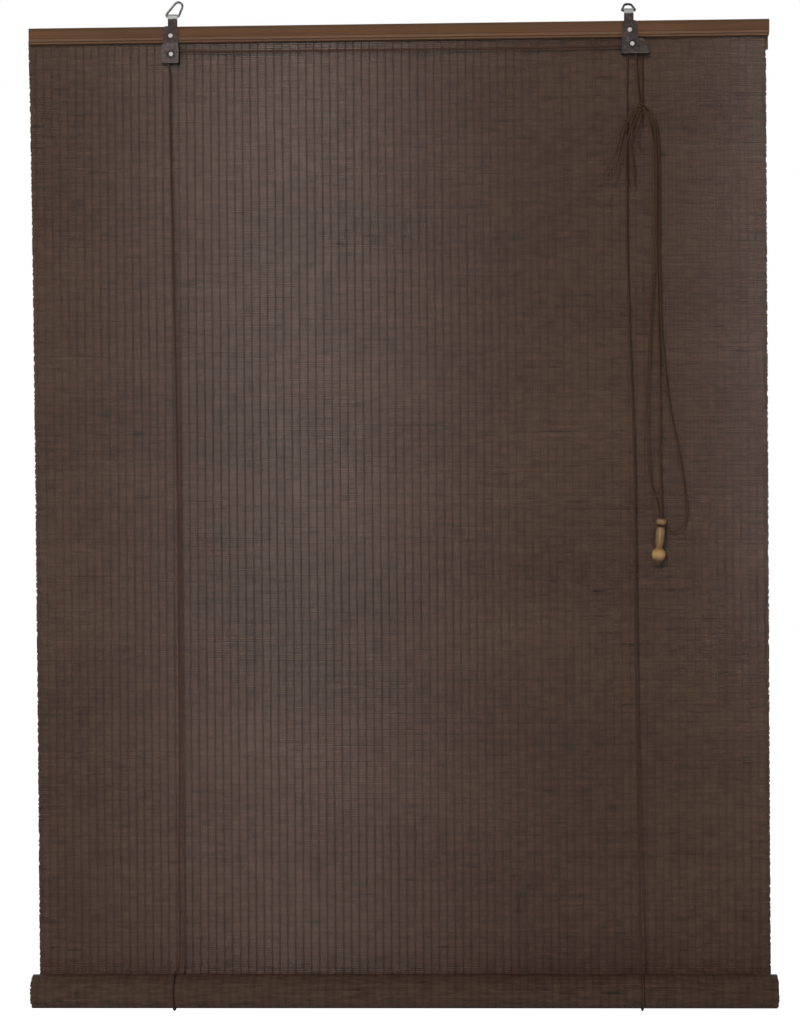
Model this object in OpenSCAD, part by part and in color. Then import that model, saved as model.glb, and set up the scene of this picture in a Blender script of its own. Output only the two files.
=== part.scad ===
// Roll-up blind of woven reeds. Two battens clamp the top of the mat, and two cords pass under the roll.
// Both cords leave through a self-locking pulley at the right and end at a turned wooden knob.
// X runs along the rail, the front faces -Y, and Z = 0 is the line on which the two hanging rings bear.

/* [Head rail] */
// Length of both battens
rail_w = 900; // [700:10:1400]
// Height of the front batten
batten_h = 19; // [17:0.5:22]
// Thickness of the front batten
batten_t = 10; // [9.5:0.5:14]
// Height of the back batten
back_h = 34; // [30:1:44]
// Thickness of the back batten
back_t = 7; // [6:0.5:10]
// Radius of the bead along the lower front edge
bead_r = 2.5; // [1.5:0.1:3]
// Radius of the eased edges of the back batten
ease_r = 1.5; // [0.5:0.1:2.5]
// Number of brads that close the two battens
brad_count = 7; // [3:1:11]

/* [Mat] */
// How far the mat stands back from each end of the rail
mat_inset = 2.5; // [0:0.5:20]
// Thickness of the reed mat
mat_t = 2; // [1.6:0.1:2.6]
// Height of the blind, from the top of the rail to the bottom of the roll
blind_h = 1196; // [700:1:1800]
// Height of one ridge of reeds
ridge_h = 6.5; // [6:0.1:10]
// Depth of the valley between two ridges
valley_d = 0.3; // [0.1:0.05:0.5]
// Columns of light gaps between the reeds
gap_columns = 8; // [1:1:8]
// Rows of light gaps between the reeds
gap_rows = 14; // [1:1:15]
// Height of a light gap
gap_h = 0.3; // [0.2:0.1:1.2]
// Length of the longest light gap
gap_w = 60; // [30:1:100]

/* [Roll] */
// Radius of the dowel that the mat is rolled on
core_r = 10; // [6:0.5:16]
// Turns of mat on the dowel
turns = 4; // [2:1:6]
// Air between two turns
turn_gap = 0.3; // [0.1:0.1:0.8]
// How far the turns have spread past the mat at each end
spread = 4.5; // [0:0.5:8]
// How far the dowel stands back from the roll's ends
core_recess = 3; // [1:0.5:10]

/* [Hanging plates] */
// Place of the left plate along the rail
plate_left_x = -275.9; // [-300:0.1:-150]
// Place of the right plate along the rail
plate_right_x = 281.8; // [150:0.1:300]
// Thickness of the plates
plate_t = 1.5; // [1:0.1:2]
// Width of the plates on the rail
plate_w = 18.5; // [16:0.5:22]
// Width of the plates' necks above the rail
neck_w = 11.5; // [8:0.5:12]
// How far the left plate's neck stands right of its middle
left_neck_off = 2.6; // [-3:0.1:3]
// How far the right plate's neck stands right of its middle
right_neck_off = -1.2; // [-3:0.1:3]
// Height of the rolled barrel over the rail
barrel_up = 12; // [9:0.5:16]
// Radius of the rolled barrel
barrel_r = 2.8; // [2.4:0.1:3.4]
// Depth of the rail rivets below the top of the rail
rivet_down = 11.5; // [7:0.5:12]

/* [Hanging rings] */
// Thickness of the ring's wire
wire_d = 2.8; // [2:0.1:3]
// Inside height of a ring, from the barrel's axis
ring_in = 16; // [13:0.5:22]
// Half the width of a ring at its foot
ring_foot = 7.8; // [7.7:0.1:9]
// Radius of the ring's round head
ring_head = 5; // [4:0.1:6]
// Sideways bend of the left ring
ring_bend = 7; // [0:0.5:8]
// Lean of the right ring towards the wall, in degrees
ring_lean = 51; // [0:1:75]

/* [Left pulley] */
// Depth of the left axle below the lower edge of the rail
left_axle_below = 15; // [14:0.1:20]
// Width of the left housing
housing_w = 20.8; // [18:0.1:24]
// How far the left housing's middle stands left of its axle
housing_off = 1.2; // [0:0.1:2]
// Height of the left housing above its axle
housing_up = 11.5; // [8:0.5:13]
// Height of the left housing below its axle
housing_down = 10.8; // [9:0.1:16]

/* [Cord lock] */
// Depth of the lock's axle below the lower edge of the rail
lock_axle_below = 9.4; // [9:0.1:16]
// Distance of the lock's axle from the middle of its plate
lock_axle_off = 3; // [2:0.5:6]
// Left side of the lock, from its axle
lock_left = 13.2; // [11:0.1:16]
// Right side of the lock at its top, from its axle
lock_right = 13; // [10:0.5:15]
// Flare of the lock's right side
lock_flare = 8; // [6:0.5:12]
// Height of the lock above its axle
lock_up = 6.9; // [6.8:0.1:8]
// Height of the lock below its axle
lock_down = 11.6; // [10:0.1:16]
// Radius of the knurled locking roller
roller_r = 1.5; // [1.3:0.1:1.6]
// Travel of the locking roller in its slots
roller_travel = 1.8; // [0.8:0.1:1.9]

/* [Wheels and rivets] */
// Wall of the two stamped housings
wall = 1.2; // [0.8:0.1:1.6]
// Radius at the bottom of a wheel's groove
groove_r = 2.8; // [2.4:0.1:3]
// Radius of the left wheel's flanges
flange_r = 6; // [5:0.1:7]
// Radius of the lock wheel's flanges
lock_flange_r = 4.6; // [4:0.1:4.8]
// Distance between the lock wheel's two grooves
groove_gap = 4; // [3.4:0.1:4.4]
// Radius of the axle rivets
axle_r = 1.5; // [1.2:0.1:1.7]
// Radius of the rivets' round heads
head_r = 2.7; // [2.2:0.1:3.2]

/* [Cords and knob] */
// Thickness of the cords
cord_d = 2.2; // [1.6:0.1:2.4]
// Thickness of the cut cord ends
tail_d = 1.8; // [1.2:0.1:2]
// Length of the turned knob
knob_l = 56.5; // [45:0.5:65]
// Radius of the knob's bulb
bulb_r = 8.7; // [7:0.1:9.5]
// Radius of the knob's barrel
grip_r = 5.4; // [4.8:0.1:6.5]
// Radius of the knob's top bead
bead_top_r = 6.5; // [5.5:0.1:7.5]
// Radius of the hole through the knob
knob_bore = 1.6; // [1.5:0.1:1.9]
// Tilt of the hanging knob, in degrees
knob_tilt = 5; // [0:1:8]

/* [Hidden] */
$fn = 32;

// Clearances
fit = 0.05;
pilot = 0.02;
seam = 0.3;
run_gap = 0.3;
back_gap = 0.65;

// Heights, down from the hanging line
barrel_z = -ring_in;
rail_z = barrel_z - barrel_up;
rivet_z = rail_z - rivet_down;
left_axle_z = rail_z - batten_h - left_axle_below;
lock_axle_z = rail_z - batten_h - lock_axle_below;

// Depths, from the middle of the mat
rail_front = -mat_t / 2 - fit - batten_t;
rail_back = mat_t / 2 + fit + back_t;
plate_front = rail_front - plate_t;
barrel_y = plate_front + barrel_r;
housing_in = batten_t + fit - wall - back_gap;
housing_back = rail_front + housing_in + wall;
wheel_y = rail_front + housing_in / 2;

// Mat and roll
mat_w = rail_w - 2 * mat_inset;
turn_pitch = mat_t + turn_gap;
roll_r = core_r + seam + mat_t + turns * turn_pitch;
roll_y = mat_t / 2 - roll_r;
roll_z = rail_z - blind_h + roll_r;
roll_w = mat_w + 2 * spread;

// Cords
cord_r = cord_d / 2;
cradle_r = roll_r + run_gap + cord_r;
cradle_start = 112;
wrap_r = groove_r + run_gap + cord_r;
back_cord_y = mat_t / 2 + run_gap + cord_r;
held_cord_y = rail_back + cord_r + fit;
back_z = rail_z - back_h;
staple_z = back_z + 10;
left_neck_x = plate_left_x + left_neck_off;
right_neck_x = plate_right_x + right_neck_off;
left_axle_x = plate_left_x + 0.4;
lock_axle_x = plate_right_x + lock_axle_off;
left_cord_x = left_axle_x - wrap_r;
right_cord_x = lock_axle_x - wrap_r;
front_groove_y = wheel_y - groove_gap / 2;
rear_groove_y = wheel_y + groove_gap / 2;
cradle_left_x = left_cord_x + 1.7;
cradle_right_x = right_cord_x + 8.4;
cord_seat = 1;
seat_gap = 0.1;

// Lock roller, from the lock's axle
roller_at = [8.5, -4.5];
slot_way = [-0.8, 0.6];
roller_pin_r = 1;
guide_r = roller_r + run_gap + cord_r;

// Brads and staples
brad_end = 60;
brad_z = rail_z - batten_h + 3;
brad_reach = 6;
brad_r = 0.7;
brad_head_r = 2;
brad_head_t = 0.8;
staple_r = 0.5;
staple_leg = 5;

// Free cords: points of the routes, in round numbers
knot_at = [294.5, -9, -131];
knot_r = 4;
main_route = [
  [297.5, -10, -133], [304, -11, -139.5], [311, -11, -150.5], [314.5, -11, -187],
  [314, -11, -296], [313.5, -11, -405], [314.5, -11, -514], [315.5, -11, -586], [316.5, -11, -625]
];
slack_route = [
  [298, -8, -131], [306, -8, -134.5], [315, -8, -147], [319, -8, -187],
  [319, -8, -296], [321, -8, -405], [329, -8, -471], [339.5, -8, -514], [345, -8, -560],
  [348.5, -8, -599], [349.5, -8.5, -625], [343, -9.5, -640], [334, -10.5, -646.5], [323.5, -11, -645.5]
];
left_route = [
  [296.5, -12, -134], [302.5, -14, -147], [308, -14.5, -168], [308.5, -14.5, -247],
  [306.5, -14.5, -356], [302.5, -14.5, -429], [296, -14.5, -489], [298.5, -14.5, -539],
  [303, -14.5, -561], [309.5, -14.5, -595], [314, -14, -624]
];
tail_routes = [
  [[291, -11.5, -133.5], [281, -12.5, -143], [271.5, -13, -159], [266.5, -13, -180], [259, -13, -198], [249, -12, -213]],
  [[291.5, -13, -134.5], [280, -15, -148], [272, -16, -168], [268, -16, -187], [264, -15.5, -205], [258, -15, -221]],
  [[293, -12, -135.5], [285, -13, -146], [281, -13.5, -164], [282, -13.5, -187], [285, -13.5, -208], [286, -13, -228]],
  [[294.5, -13.5, -135], [287, -16.5, -152], [276.5, -17, -176], [275, -17, -202], [277, -16.5, -225]],
  [[295, -12, -136], [293, -12.5, -152], [288.5, -13, -168], [292, -13, -182], [299, -13, -185]]
];
knob_at = [316.8, -11, -631];

function unit(v) = v / norm(v);
function mix(a, b, t) = a + (b - a) * t;

// Points of an outline with each corner rounded by its own radius
function corner(a, b, c, r) =
  let(
    u = unit(a - b),
    w = unit(c - b),
    half = acos(u * w) / 2,
    m = b + unit(u + w) * r / sin(half),
    from = b + u * r / tan(half) - m,
    to = b + w * r / tan(half) - m,
    steps = 5
  )
  [for (i = [0:steps]) m + unit(mix(from, to, i / steps)) * r];
function rounded(points, radii) =
  let(n = len(points))
  [for (i = [0:n - 1]) each corner(points[(i + n - 1) % n], points[i], points[(i + 1) % n], radii[i])];

// A smooth curve through a route's points, which keeps within each stretch however short its neighbour is
function way_at(p, i) =
  i == 0 ? unit(p[1] - p[0])
  : i == len(p) - 1 ? unit(p[i] - p[i - 1])
  : unit(unit(p[i + 1] - p[i]) + unit(p[i] - p[i - 1]));
function spline_at(p, i, t) =
  let(far = norm(p[i + 1] - p[i]))
  (2 * t * t * t - 3 * t * t + 1) * p[i] + (3 * t * t - 2 * t * t * t) * p[i + 1]
    + far * (t * t * t - 2 * t * t + t) * way_at(p, i) + far * (t * t * t - t * t) * way_at(p, i + 1);
function spline(p, steps) =
  [for (i = [0:len(p) - 2]) for (k = [0:steps - 1]) spline_at(p, i, k / steps), p[len(p) - 1]];

// A tube along a line of points, none of which runs along side; r is one radius or a list of them
module tube(line, r, side, sides = 8) {
  n = len(line);
  rings = [for (i = [0:n - 1])
    let(
      along = unit(line[min(i + 1, n - 1)] - line[max(i - 1, 0)]),
      u = unit(cross(along, side)),
      v = cross(along, u)
    )
    for (k = [0:sides - 1]) line[i] + (is_list(r) ? r[i] : r) * (cos(360 * k / sides) * u + sin(360 * k / sides) * v)];
  walls = [for (i = [0:n - 2]) for (k = [0:sides - 1])
    let(next = (k + 1) % sides)
    [i * sides + k, (i + 1) * sides + k, (i + 1) * sides + next, i * sides + next]];
  ends = [[for (k = [0:sides - 1]) k], [for (k = [0:sides - 1]) n * sides - 1 - k]];
  polyhedron(rings, concat(walls, ends));
}

// Places and lays out: along X, along Y, or an outline drawn in the XZ plane
module along_x(x, y, z, length) {
  translate([x, y, z]) rotate([0, 90, 0]) cylinder(h = length, center = true);
}
module rod_x(x, y, z, r, length) {
  translate([x - length / 2, y, z]) rotate([0, 90, 0]) cylinder(r = r, h = length);
}
module rod_y(x, y0, y1, z, r) {
  translate([x, y1, z]) rotate([90, 0, 0]) cylinder(r = r, h = y1 - y0);
}
module slab(y0, y1) {
  translate([0, y1, 0]) rotate([90, 0, 0]) linear_extrude(y1 - y0) children();
}
module along_rail(length) {
  rotate([90, 0, 90]) translate([0, 0, -length / 2]) linear_extrude(length) children();
}

// A round rivet head whose flat side lies at y and whose dome points to -Y
module dome(x, y, z, r, h) {
  ball = (r * r + h * h) / (2 * h);
  intersection() {
    translate([x, y + ball - h, z]) sphere(ball, $fn = 64);
    rod_y(x, y - h - 1, y, z, r + 1);
  }
}

// Front batten with an eased top edge, a scratched line and a bead along its lower edge
module front_batten() {
  top_r = 2;
  line_r = 0.7;
  color("#5f4129") difference() {
    along_rail(rail_w) difference() {
      union() {
        translate([rail_front + top_r, rail_z - batten_h]) square([batten_t - top_r, batten_h]);
        translate([rail_front, rail_z - batten_h + bead_r]) square([top_r * 2, batten_h - bead_r - top_r]);
        translate([rail_front + top_r, rail_z - top_r]) circle(top_r);
        translate([rail_front + bead_r, rail_z - batten_h + bead_r]) circle(bead_r);
      }
      translate([rail_front - 1, rail_z - batten_h - 1]) square([bead_r + 1, bead_r + 1]);
      translate([rail_front, rail_z - batten_h + 2 * bead_r + line_r]) circle(line_r);
    }
    rivet_holes();
    brad_holes();
  }
}

// Back batten, a plain board with eased edges
module back_batten() {
  color("#4e3726") difference() {
    along_rail(rail_w)
      polygon(rounded([
        [mat_t / 2 + fit, rail_z], [rail_back, rail_z], [rail_back, back_z], [mat_t / 2 + fit, back_z]
      ], [0.3, ease_r, ease_r, 0.3]));
    rivet_holes();
    brad_holes();
    for (x = [cradle_left_x, cradle_right_x], s = [-1, 1])
      rod_y(x + s * (cord_r + fit + staple_r), rail_back - staple_leg - pilot, rail_back + 1, staple_z, staple_r + pilot);
  }
}

function brad_x(i) = (i - (brad_count - 1) / 2) * (rail_w - 2 * brad_end) / (brad_count - 1);

module brad_holes() {
  for (i = [0:brad_count - 1])
    rod_y(brad_x(i), -mat_t / 2 - fit - brad_reach - pilot, rail_back + 1, brad_z, brad_r + pilot);
}
module rivet_holes() {
  for (x = [plate_left_x, plate_right_x])
    rod_y(x, plate_front - 1, rail_back + 1, rivet_z, axle_r + pilot);
}

// Brads driven from the back, through the mat and into the front batten
module batten_brads() {
  color("#9a9a98") for (i = [0:brad_count - 1]) {
    rod_y(brad_x(i), -mat_t / 2 - fit - brad_reach, rail_back, brad_z, brad_r);
    rod_y(brad_x(i), rail_back, rail_back + brad_head_t, brad_z, brad_head_r);
  }
}

mat_top = rail_z - 2;
mat_foot = roll_z + seam;
ridges = floor((mat_top - mat_foot) / ridge_h);
ridge = (mat_top - mat_foot) / ridges;

// One side of the mat from its top down, with a valley between ridges
function mat_side(s) = [
  for (i = [0:ridges - 1]) each [
    [s * (mat_t / 2 - valley_d), mat_top - i * ridge],
    [s * mat_t / 2, mat_top - (i + 0.22) * ridge],
    [s * mat_t / 2, mat_top - (i + 0.78) * ridge]
  ],
  [s * (mat_t / 2 - valley_d), mat_foot]
];

// The light gaps lie in valleys, scattered by a formula
function gap_row(r, c) =
  let(
    first = ceil((mat_top - back_z) / ridge) + 3,
    room = ridges - first - 6,
    at = (r + 0.5 + 0.45 * sin(r * 97 + c * 211)) / gap_rows
  )
  first + floor(at * room);
function gap_x(r, c) = ((c + 0.5) / gap_columns - 0.5) * mat_w + (mat_w / gap_columns - gap_w) * 0.45 * sin(r * 143 + c * 59);
function gap_length(r, c) = gap_w * (0.65 + 0.35 * sin(r * 71 + c * 173));

// Hanging part of the reed mat: ridges of reeds across one wall, with gaps that let light through
module reed_mat() {
  front = mat_side(-1);
  back = mat_side(1);
  color("#55463f") difference() {
    along_rail(mat_w) polygon(concat(front, [for (i = [len(back) - 1:-1:0]) back[i]]));
    rivet_holes();
    brad_holes();
    for (r = [0:gap_rows - 1], c = [0:gap_columns - 1])
      translate([gap_x(r, c), 0, mat_top - gap_row(r, c) * ridge])
        cube([gap_length(r, c), mat_t * 2, gap_h], center = true);
  }
}

// The rolled end of the mat, one spiral of several turns with ridged faces
module rolled_mat() {
  steps = 40;
  count = turns * steps;
  outer = [for (i = [0:count])
    let(
      a = -360 * i / steps,
      r = roll_r - turn_pitch * i / steps - (i % 2) * valley_d / 2
    )
    [roll_y + r * cos(a), roll_z + r * sin(a)]];
  inner = [for (i = [count:-1:0])
    let(
      a = -360 * i / steps,
      r = roll_r - turn_pitch * i / steps - mat_t
    )
    [roll_y + r * cos(a), roll_z + r * sin(a)]];
  color("#42322b") along_rail(roll_w) polygon(concat(outer, inner));
}

// Dowel inside the roll
module roll_dowel() {
  color("#8a6a48") rod_x(0, roll_y, roll_z, core_r, roll_w - 2 * core_recess);
}

// Outline of a plate down to the housing that it carries, with the neck that ends in the barrel
module plate_outline(x, neck_x, low) {
  translate([neck_x - neck_w / 2, rail_z - 6]) square([neck_w, barrel_z - rail_z + 6]);
  polygon(rounded([
    [x - plate_w / 2, low], [x + plate_w / 2, low], [x + plate_w / 2, rail_z], [x - plate_w / 2, rail_z]
  ], [0.5, 0.5, 4, 4]));
}

// The barrel rolled from the end of a plate's neck
module barrel(x) {
  rod_x(x, barrel_y, barrel_z, barrel_r, neck_w);
}
module barrel_bore(x) {
  rod_x(x, barrel_y, barrel_z, wire_d / 2 + fit, neck_w + 2);
}

// Left hanging plate, whose foot is the front of the left pulley
module left_plate() {
  color("#4b4746") difference() {
    union() {
      slab(plate_front, rail_front) {
        plate_outline(plate_left_x, left_neck_x, left_axle_z + housing_up - 4);
        left_outline(0);
      }
      barrel(left_neck_x);
    }
    barrel_bore(left_neck_x);
    rod_y(plate_left_x, plate_front - 1, rail_front + 1, rivet_z, axle_r + pilot);
    rod_y(left_axle_x, plate_front - 1, rail_front + 1, left_axle_z, axle_r + fit);
  }
}

// Right hanging plate, whose flared foot is the front of the cord lock
module right_plate() {
  color("#3c3938") difference() {
    union() {
      slab(plate_front, rail_front) {
        plate_outline(plate_right_x, right_neck_x, lock_axle_z + lock_up - 4);
        lock_outline(0);
      }
      barrel(right_neck_x);
    }
    barrel_bore(right_neck_x);
    rod_y(plate_right_x, plate_front - 1, rail_front + 1, rivet_z, axle_r + pilot);
    rod_y(lock_axle_x, plate_front - 1, rail_front + 1, lock_axle_z, axle_r + fit);
    slab(plate_front - 1, rail_front + 1) roller_slot();
  }
}

// Outline of the left housing, drawn in by t on every side but the lower one
module left_outline(t) {
  l = left_axle_x - housing_off - housing_w / 2 + t;
  r = left_axle_x - housing_off + housing_w / 2 - t;
  top = left_axle_z + housing_up - t;
  low = left_axle_z - housing_down - (t > 0 ? 1 : 0);
  round_r = 2.2 - t;
  polygon(rounded([[l, low], [r, low], [r, top], [l, top]], [1.5, 1.5, round_r, round_r]));
}

// Outline of the flared lock, drawn in by t on every side but the lower one
module lock_outline(t) {
  l = lock_axle_x - lock_left + t;
  top = lock_axle_z + lock_up - t;
  low = lock_axle_z - lock_down - (t > 0 ? 1 : 0);
  slope = lock_flare / (lock_up + lock_down);
  side = lock_axle_x + lock_right - t * norm([1, slope]);
  round_r = 2.4 - t;
  polygon(rounded([
    [l, low], [side + slope * (lock_axle_z + lock_up - low), low],
    [side + slope * (lock_axle_z + lock_up - top), top], [l, top]
  ], [1.5, 1.5, round_r, round_r]));
}

// The slanted slot in which the roller's pin rides
module roller_slot() {
  r = roller_pin_r + fit;
  at = [lock_axle_x, lock_axle_z] + roller_at;
  translate(at) circle(r);
  translate(at + slot_way * roller_travel) circle(r);
  translate(at) rotate(atan2(slot_way[1], slot_way[0])) translate([0, -r]) square([roller_travel, 2 * r]);
}

// Stamped box behind the left plate, open below for the lift cord and at the right for the cross cord
module left_housing() {
  color("#6b6661") difference() {
    slab(rail_front, housing_back) left_outline(0);
    slab(rail_front - 1, housing_back - wall) left_outline(wall);
    rod_y(left_axle_x, rail_front, housing_back + 1, left_axle_z, axle_r + fit);
    translate([left_axle_x + flange_r, front_groove_y - cord_d * 1.4, left_axle_z + wrap_r - cord_d * 1.2])
      cube([housing_w, cord_d * 2.8, cord_d * 2.2]);
  }
}

// Stamped box behind the right plate, open below and at the left for the cross cord
module lock_housing() {
  color("#453f40") difference() {
    slab(rail_front, housing_back) lock_outline(0);
    slab(rail_front - 1, housing_back - wall) lock_outline(wall);
    rod_y(lock_axle_x, rail_front, housing_back + 1, lock_axle_z, axle_r + fit);
    slab(rail_front, housing_back + 1) roller_slot();
    translate([lock_axle_x - 2 * lock_left, front_groove_y - cord_d * 1.4, lock_axle_z - 5])
      cube([lock_left * 2 - lock_flange_r, cord_d * 2.8, 7.5]);
  }
}

// A wheel on the Y axis with one round groove for each place in grooves
module wheel(x, z, rim, width, grooves) {
  translate([x, wheel_y, z]) rotate([90, 0, 0]) difference() {
    translate([0, 0, -width / 2]) cylinder(r = rim, h = width);
    for (g = grooves) rotate_extrude() translate([wrap_r, g]) union() {
      circle(cord_r + run_gap);
      translate([0, -cord_r - run_gap]) square([rim, cord_d + 2 * run_gap]);
    }
    translate([0, 0, -width]) cylinder(r = axle_r + fit, h = 2 * width);
  }
}
wheel_t = housing_in - 0.6;

module left_wheel() {
  color("#8d8880") wheel(left_axle_x, left_axle_z, flange_r, wheel_t, [groove_gap / 2]);
}
module lock_wheel() {
  color("#8d8880") wheel(lock_axle_x, lock_axle_z, lock_flange_r, wheel_t, [groove_gap / 2, -groove_gap / 2]);
}

// A rivet with a round head in front and a flat one behind its last piece
module rivet(x, z, front, back, foot) {
  rod_y(x, front - 0.5, back + foot / 2, z, axle_r);
  dome(x, front, z, head_r, 1.5);
  rod_y(x, back, back + foot, z, head_r * 0.9);
}
rail_foot = 1;
axle_foot = 0.3;
module left_axle() {
  color("#c9c6c0") rivet(left_axle_x, left_axle_z, plate_front, housing_back, axle_foot);
}
module lock_axle() {
  color("#c9c6c0") rivet(lock_axle_x, lock_axle_z, plate_front, housing_back, axle_foot);
}

washer_t = 0.8;
module rail_rivets() {
  color("#d2cfc8") for (x = [plate_left_x, plate_right_x]) rivet(x, rivet_z, plate_front, rail_back + washer_t, rail_foot);
}
module rivet_washers() {
  color("#8f8d89") for (x = [plate_left_x, plate_right_x]) difference() {
    rod_y(x, rail_back, rail_back + washer_t, rivet_z, axle_r * 2.6);
    rod_y(x, rail_back - 1, rail_back + washer_t + 1, rivet_z, axle_r + pilot);
  }
}

// Knurled roller that wedges the cords against the wheel, with a pin at each end
module lock_roller() {
  teeth = 14;
  x = lock_axle_x + roller_at[0];
  z = lock_axle_z + roller_at[1];
  knurl = [for (i = [0:2 * teeth - 1])
    let(a = 180 * i / teeth, r = roller_r - 0.15 * (i % 2))
    [r * cos(a), r * sin(a)]];
  color("#b3aea4") union() {
    slab(wheel_y - wheel_t / 2, wheel_y + wheel_t / 2) translate([x, z]) polygon(knurl);
    rod_y(x, plate_front - 0.4, housing_back + 0.3, z, roller_pin_r);
  }
}

// Direction of the outer tangent's normal, from one circle [x, z, r] to the next
function tangent_at(a, b) =
  let(way = [b[0] - a[0], b[1] - a[1]])
  atan2(way[1], way[0]) - acos((a[2] - b[2]) / norm(way));
function arc_points(c, from, to, steps) =
  [for (i = [0:steps]) let(a = mix(from, to, i / steps)) [c[0] + c[2] * cos(a), 0, c[1] + c[2] * sin(a)]];

// A wire ring: its straight foot turns in a barrel and its round head may be bent aside
module ring(bend) {
  r = wire_d / 2;
  low = 2;
  half = ring_foot - low;
  right = [half, low, low];
  left = [-half, low, low];
  head = [bend, ring_in + r - ring_head, ring_head];
  rise = tangent_at(right, head);
  fall = tangent_at(head, left) + 360;
  arch = concat(
    arc_points(right, 280, rise + 360, 4), arc_points(head, rise, fall, 8), arc_points(left, fall, 260, 4)
  );
  line = concat([[half - 0.9, 0, 0], [half - 0.2, 0, 0]], arch, [[0.2 - half, 0, 0], [0.9 - half, 0, 0]]);
  last = len(line) - 1;
  tube(line, [for (i = [0:last]) i < 2 || i > last - 2 ? r * 0.8 : r], [0, 1, 0], 10);
  rod_x(0, 0, 0, r, 2 * half);
}
module left_ring() {
  color("#a7a49d") translate([left_neck_x, barrel_y, barrel_z]) ring(ring_bend);
}
module right_ring() {
  color("#a7a49d") translate([right_neck_x, barrel_y, barrel_z]) rotate([-ring_lean, 0, 0]) ring(0);
}

// Route of a lift cord from its wheel down to the top of the roll, over which it bends forward
function front_route(x_top, x_exit, x_hang, x_cradle, y, z) =
  let(
    top = roll_z + cradle_r,
    start = [x_cradle, roll_y + cradle_r * cos(cradle_start), roll_z + cradle_r * sin(cradle_start)],
    way = [0, -sin(cradle_start), cos(cradle_start)]
  )
  [
    [x_top, y, z - cord_seat - seat_gap], [x_top, y, z - 4], [x_exit, y, z - 18], [x_exit + 0.4, y, z - 44], [x_hang - 1, mix(y, roll_y + 1.5, 0.27), z - 300],
    [x_hang, roll_y + 1.5, top + 120], [x_hang, roll_y - 0.3, top + 22],
    [mix(x_hang, x_cradle, 0.25), roll_y - 0.8, top + 6],
    [mix(x_hang, x_cradle, 0.8), start[1] - way[1] * 5, start[2] - way[2] * 5 + 0.8], start
  ];
module front_cord(x_top, x_exit, x_hang, x_cradle, y, z) {
  color("#4a2f22") tube(spline(front_route(x_top, x_exit, x_hang, x_cradle, y, z), 3), cord_r, [1, 0, 0]);
}

// Loop of a lift cord that hugs the roll, from the top of it under to the back
module cradle_cord(x) {
  skip = asin(seam / cradle_r);
  color("#4a2f22") translate([x, roll_y, roll_z]) rotate([90, 0, 90])
    rotate([0, 0, cradle_start + skip]) rotate_extrude(angle = 360 - cradle_start - skip, $fn = 96)
      translate([cradle_r, 0]) circle(cord_r, $fn = 16);
}

// Lift cord behind the mat, up round the foot of the back batten to its staple
module back_cord(x) {
  clear = cord_r + fit;
  route = [
    [x, back_cord_y, roll_z + seam], [x, back_cord_y, back_z - 60], [x, back_cord_y, back_z - 24], [x, back_cord_y, back_z - 16],
    [x, mix(back_cord_y, rail_back, 0.45), back_z - 8], [x, rail_back + 0.4, back_z - 4],
    [x, rail_back + clear + 0.7, back_z + 0.8], [x, held_cord_y + 0.1, back_z + 6], [x, held_cord_y, staple_z + 1],
    [x, held_cord_y, staple_z + 8]
  ];
  color("#4a2f22") tube(spline(route, 2), cord_r, [1, 0, 0]);
}

module left_front_cord() {
  front_cord(left_cord_x, left_cord_x + 2.7, left_cord_x + 6.3, cradle_left_x, front_groove_y, left_axle_z);
}
module left_cradle_cord() {
  cradle_cord(cradle_left_x);
}
module left_back_cord() {
  back_cord(cradle_left_x);
}
module right_front_cord() {
  front_cord(right_cord_x, right_cord_x + 4, right_cord_x + 9.7, cradle_right_x, rear_groove_y, lock_axle_z);
}
module right_cradle_cord() {
  cradle_cord(cradle_right_x);
}
module right_back_cord() {
  back_cord(cradle_right_x);
}

// Wire staples that hold the lift cords' ends on the back batten
module cord_staples() {
  bow = cord_r + fit + staple_r;
  color("#a9a7a2") for (x = [cradle_left_x, cradle_right_x]) translate([x, held_cord_y, staple_z]) {
    rotate_extrude(angle = 180, $fn = 48) translate([bow, 0]) circle(staple_r, $fn = 16);
    for (s = [-1, 1]) rod_y(s * bow, rail_back - staple_leg - held_cord_y, 0, 0, staple_r);
  }
}

function wrap(x, y, z, r, from, to, steps) =
  [for (i = [0:steps]) let(a = mix(from, to, i / steps)) [x + r * cos(a), y, z + r * sin(a)]];

// Left lift cord over the left wheel, along under the rail, sagging a little, and over the lock's wheel
module cross_cord() {
  enter_z = lock_axle_z - 1.6;
  color("#4a2f22") tube(concat(
    [[left_cord_x, front_groove_y, left_axle_z - cord_seat]],
    wrap(left_axle_x, front_groove_y, left_axle_z, wrap_r, 180, 90, 4),
    [[left_axle_x + 158, front_groove_y, left_axle_z + wrap_r - 1.5]],
    [[lock_axle_x - lock_left - 40, front_groove_y, enter_z - 0.8], [lock_axle_x - lock_left, front_groove_y, enter_z]],
    wrap(lock_axle_x, front_groove_y, lock_axle_z, wrap_r, 125, 0, 5),
    [[lock_axle_x + wrap_r, front_groove_y, lock_axle_z - cord_seat]]
  ), cord_r, [0, 1, 0]);
}

// Right lift cord over the lock's wheel and round the far side of the roller
module lock_loop_cord() {
  over = atan2(roller_at[1], roller_at[0]) + acos((wrap_r - guide_r) / norm(roller_at));
  x = lock_axle_x + roller_at[0];
  z = lock_axle_z + roller_at[1];
  color("#4a2f22") tube(concat(
    [[right_cord_x, rear_groove_y, lock_axle_z - cord_seat]],
    wrap(lock_axle_x, rear_groove_y, lock_axle_z, wrap_r, 180, over, 6),
    wrap(x, rear_groove_y, z, guide_r, over, 0, 3),
    [[x + guide_r, rear_groove_y, z - cord_seat]]
  ), cord_r, [0, 1, 0]);
}

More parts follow.
